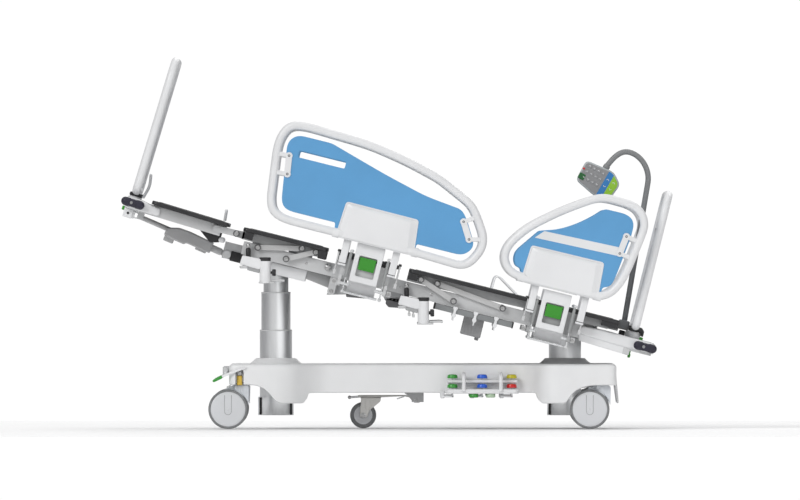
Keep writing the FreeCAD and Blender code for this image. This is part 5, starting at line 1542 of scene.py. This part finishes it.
def hand_control():
    """The handset: shell, coloured key fields, keys with chevrons; and its gooseneck and clamp."""
    body = "hand_control"
    outline = rounded(HANDSET, 18)
    slab("handset_shell", [outline], HANDSET_SIDE - 14, HANDSET_SIDE + 14, HANDSET_GREY, body, "handset_grey",
         edge=5, place=BED, replaces=["handset"])
    face = rounded(grown(HANDSET, -6), 14)
    fields = (("grey", -90, 19, ACTUATOR_GREY), ("blue", 19, 43, BLUE_STRIPE), ("lime", 43, 90, LIME_STRIPE))
    for label, low, high, material in fields:
        for side_label, y in (("front", HANDSET_SIDE - 14.2), ("rear", HANDSET_SIDE + 14.2)):
            if side_label == "rear" and label != "grey":
                continue
            piece = clipped(face, low + 0.6, high - 0.6) if side_label == "front" else face
            slab(f"handset_{label}_{side_label}", [piece], y - 0.8, y + 0.8, material, body, "handset_grey",
                 edge=0.4,
                 place=BED)
    keys, marks = [], []
    for column in range(4):
        for row in range(3):
            centre = on_handset(-54 + column * 19, 26 - row * 24)
            key = around(centre, rectangle(-7, 7, -7, 7))
            mesh = slab_mesh([rounded(key, 4, 4)], 2.0, 0.8)
            mesh.transform(Matrix.Translation((0, HANDSET_SIDE - 15.4, 0)))
            if (column, row) != (0, 2):
                keys.append(mesh)
            way = 1 if row != 2 else -1
            marks.append(chevron_mesh(centre, 3.6, -1.8, 2.0, way, HANDSET_SIDE - 16.6, 1.1))
    for along_way in (31, 56):
        for up, way in ((14, 1), (-14, -1)):
            centre = on_handset(along_way, up)
            marks.append(chevron_mesh(centre, 4.5, -2.2, 2.6, way, HANDSET_SIDE - 15.4, 1.2))
    finish_piece("handset_keys", joined(keys), ACTUATOR_GREY, body, "handset_grey", place=BED)
    finish_piece("handset_marks", joined(marks), WHITE_PLASTIC, body, "handset_grey", place=BED)
    key = around(on_handset(-62, -24), ((-13, -11), (12, -12), (12, 12), (-13, 12)))
    red = around(on_handset(-70, 6), rectangle(-5, 5, -3, 3))
    slab("handset_red_key", [rounded(red, 2, 3)], HANDSET_SIDE - 16.6, HANDSET_SIDE - 14, PEDAL_RED, body,
         "handset_grey", edge=0.8, place=BED)
    slab("handset_green_key", [rounded(key, 5, 4)], HANDSET_SIDE - 17, HANDSET_SIDE - 14, KEY_GREEN, body,
         "handset_grey", edge=1, place=BED)
    foot, top, crown, end = Vector((218, 40)), Vector((176, 590)), Vector((80, 687)), Vector((4, 604))
    path = [foot, foot.lerp(top, 0.5)]
    path += bezier(top, top + Vector((-4, 54)), crown + Vector((46, 0)), crown)
    path += bezier(crown, crown + Vector((-40, 0)), end + Vector((18, 40)), end)[1:]
    tube("gooseneck", [(p.x, HANDSET_SIDE, p.y) for p in path], 10.6, ARM_GREY, body, "rail_grey", place=BED,
         replaces=["handset_arm"])
    ferrule = [(10, 0), (12.5, 0), (13, 1), (13, 11), (12.2, 13), (10, 13.5)]
    socket = lathe_mesh(ferrule, (0, 0, 0), "Z", 32)
    socket.transform(Matrix.Translation((end.x + 2, HANDSET_SIDE, end.y + 2)) @ Matrix.Rotation(0.405, 4,
                                                                                                "Y"))
    finish_piece("gooseneck_ferrule", socket, ARM_GREY, body, "rail_grey", place=BED)
    block("handset_clamp", (196, HANDSET_SIDE - 27, 26), (238, HANDSET_SIDE + 27, 62), ARM_GREY, "back",
          "grey_steel",
          edge=5, place=BED)
    knob = [(0, -34), (6, -34), (7, -28), (11, -26), (12, -22), (12, -8), (10, -5), (0, -5)]
    lathe("handset_clamp_knob", knob, (218, HANDSET_SIDE, 28), "Z", BLACK_PLASTIC, "back", "grey_steel",
          count=12,
          place=BED)


# ------------------------------------------------------------------ stage
def surround():
    """A white backdrop to the eye, and a softer graded surround as the light source."""
    world = bpy.data.worlds.new("studio_world")
    world.use_nodes = True
    nodes, links = world.node_tree.nodes, world.node_tree.links
    background = nodes["Background"]
    backdrop = nodes.new("ShaderNodeBackground")
    backdrop.inputs["Color"].default_value = (1.0, 1.0, 1.0, 1.0)
    backdrop.inputs["Strength"].default_value = 1.02
    place = nodes.new("ShaderNodeTexCoord")
    axes = nodes.new("ShaderNodeSeparateXYZ")
    ramp = nodes.new("ShaderNodeValToRGB")
    links.new(place.outputs["Generated"], axes.inputs["Vector"])
    sideways = nodes.new("ShaderNodeMath")
    sideways.operation = "ABSOLUTE"
    links.new(axes.outputs["X"], sideways.inputs[0])
    links.new(sideways.outputs["Value"], ramp.inputs["Fac"])
    ramp.color_ramp.elements[0].color = (0.60, 0.60, 0.60, 1.0)
    ramp.color_ramp.elements[0].position = 0.25
    ramp.color_ramp.elements[1].color = (0.26, 0.26, 0.265, 1.0)
    ramp.color_ramp.elements[1].position = 0.95
    links.new(ramp.outputs["Color"], background.inputs["Color"])
    rays = nodes.new("ShaderNodeLightPath")
    mix = nodes.new("ShaderNodeMixShader")
    links.new(rays.outputs["Is Camera Ray"], mix.inputs["Fac"])
    links.new(background.outputs["Background"], mix.inputs[1])
    links.new(backdrop.outputs["Background"], mix.inputs[2])
    links.new(mix.outputs["Shader"], nodes["World Output"].inputs["Surface"])
    bpy.context.scene.world = world


VIEW_WIDTH = 3.04
VIEW_CENTRE = (0.0076, 0.6802)
VIEW_PLANE = -0.35
LENS = 900.0
SENSOR_WIDTH = 36.0
CAMERA_REACH = 200.0
LIGHTS = (("key_light", (-0.75, -1.0, 0.7), 1.05, 24), ("fill_light", (0.7, -1.0, 0.15), 0.45, 50),
          ("top_light", (0.1, 0.15, 1.0), 0.65, 60), ("back_light", (0.3, 1.0, 0.6), 0.55, 40))


def studio():
    """A pale floor, soft even light and the long-lens side camera."""
    surround()
    bm = bmesh.new()
    bmesh.ops.create_grid(bm, x_segments=4, y_segments=4, size=3.4)
    mesh = bpy.data.meshes.new("floor")
    bm.to_mesh(mesh)
    bm.free()
    floor = bpy.data.objects.new("floor", mesh)
    bpy.context.scene.collection.objects.link(floor)
    material, bsdf = shader("floor_paper", (0.94, 0.94, 0.94), 0.9, Specular_IOR_Level=0.0)
    vector = coordinates(material)
    two_tone(material, bsdf, noise(material, vector, 3.0), (0.98, 0.98, 0.98), (1.0, 1.0, 1.0))
    mesh.materials.append(material)
    floor.location.z = -0.0015
    for light in LIGHTS:
        sun(*light)
    data = bpy.data.cameras.new("camera")
    data.sensor_width = SENSOR_WIDTH
    data.lens = LENS
    data.clip_end = CAMERA_REACH
    camera = bpy.data.objects.new("camera", data)
    distance = VIEW_WIDTH * LENS / SENSOR_WIDTH
    camera.location = (VIEW_CENTRE[0], VIEW_PLANE - distance, VIEW_CENTRE[1])
    camera.rotation_euler = (math.radians(90), 0, 0)
    bpy.context.scene.collection.objects.link(camera)
    bpy.context.scene.camera = camera
    bpy.context.scene.view_settings.view_transform = "Standard"


def sun(name, toward_light, strength, spread_degrees):
    """A wide, soft, distant light from a direction."""
    data = bpy.data.lights.new(name, "SUN")
    data.energy = strength
    data.angle = math.radians(spread_degrees)
    light = bpy.data.objects.new(name, data)
    light.rotation_euler = Vector(toward_light).to_track_quat("Z", "Y").to_euler()
    bpy.context.scene.collection.objects.link(light)


studio()
for side_name, side in SIDES:
    for kind in ("large", "small"):
        side_rail(kind, side_name, side)
        rail_arm(kind, side_name, side)
        rail_brackets(kind, side_name, side)
    for end, stem_x in STEMS_X:
        twin_caster(end, stem_x, side_name, side)
    pedal_guard(side_name, side)
board("headboard", "headboard", "head_board", 262, 35, 581, BED)
board("footboard", "footboard", "foot_board", -411, 30, 576, CALF)
platform()
frame_hardware()
head_end()
foot_end()
for side_name, side in SIDES:
    accessory_rail(side_name, side)
    for end, x, low, high in SOCKETS:
        infusion_socket(end, x, low, high, side_name, side)
control_boxes()
calf_actuator()
hand_control()
base_cover()
columns()
fifth_wheel()
brake()
pedals()
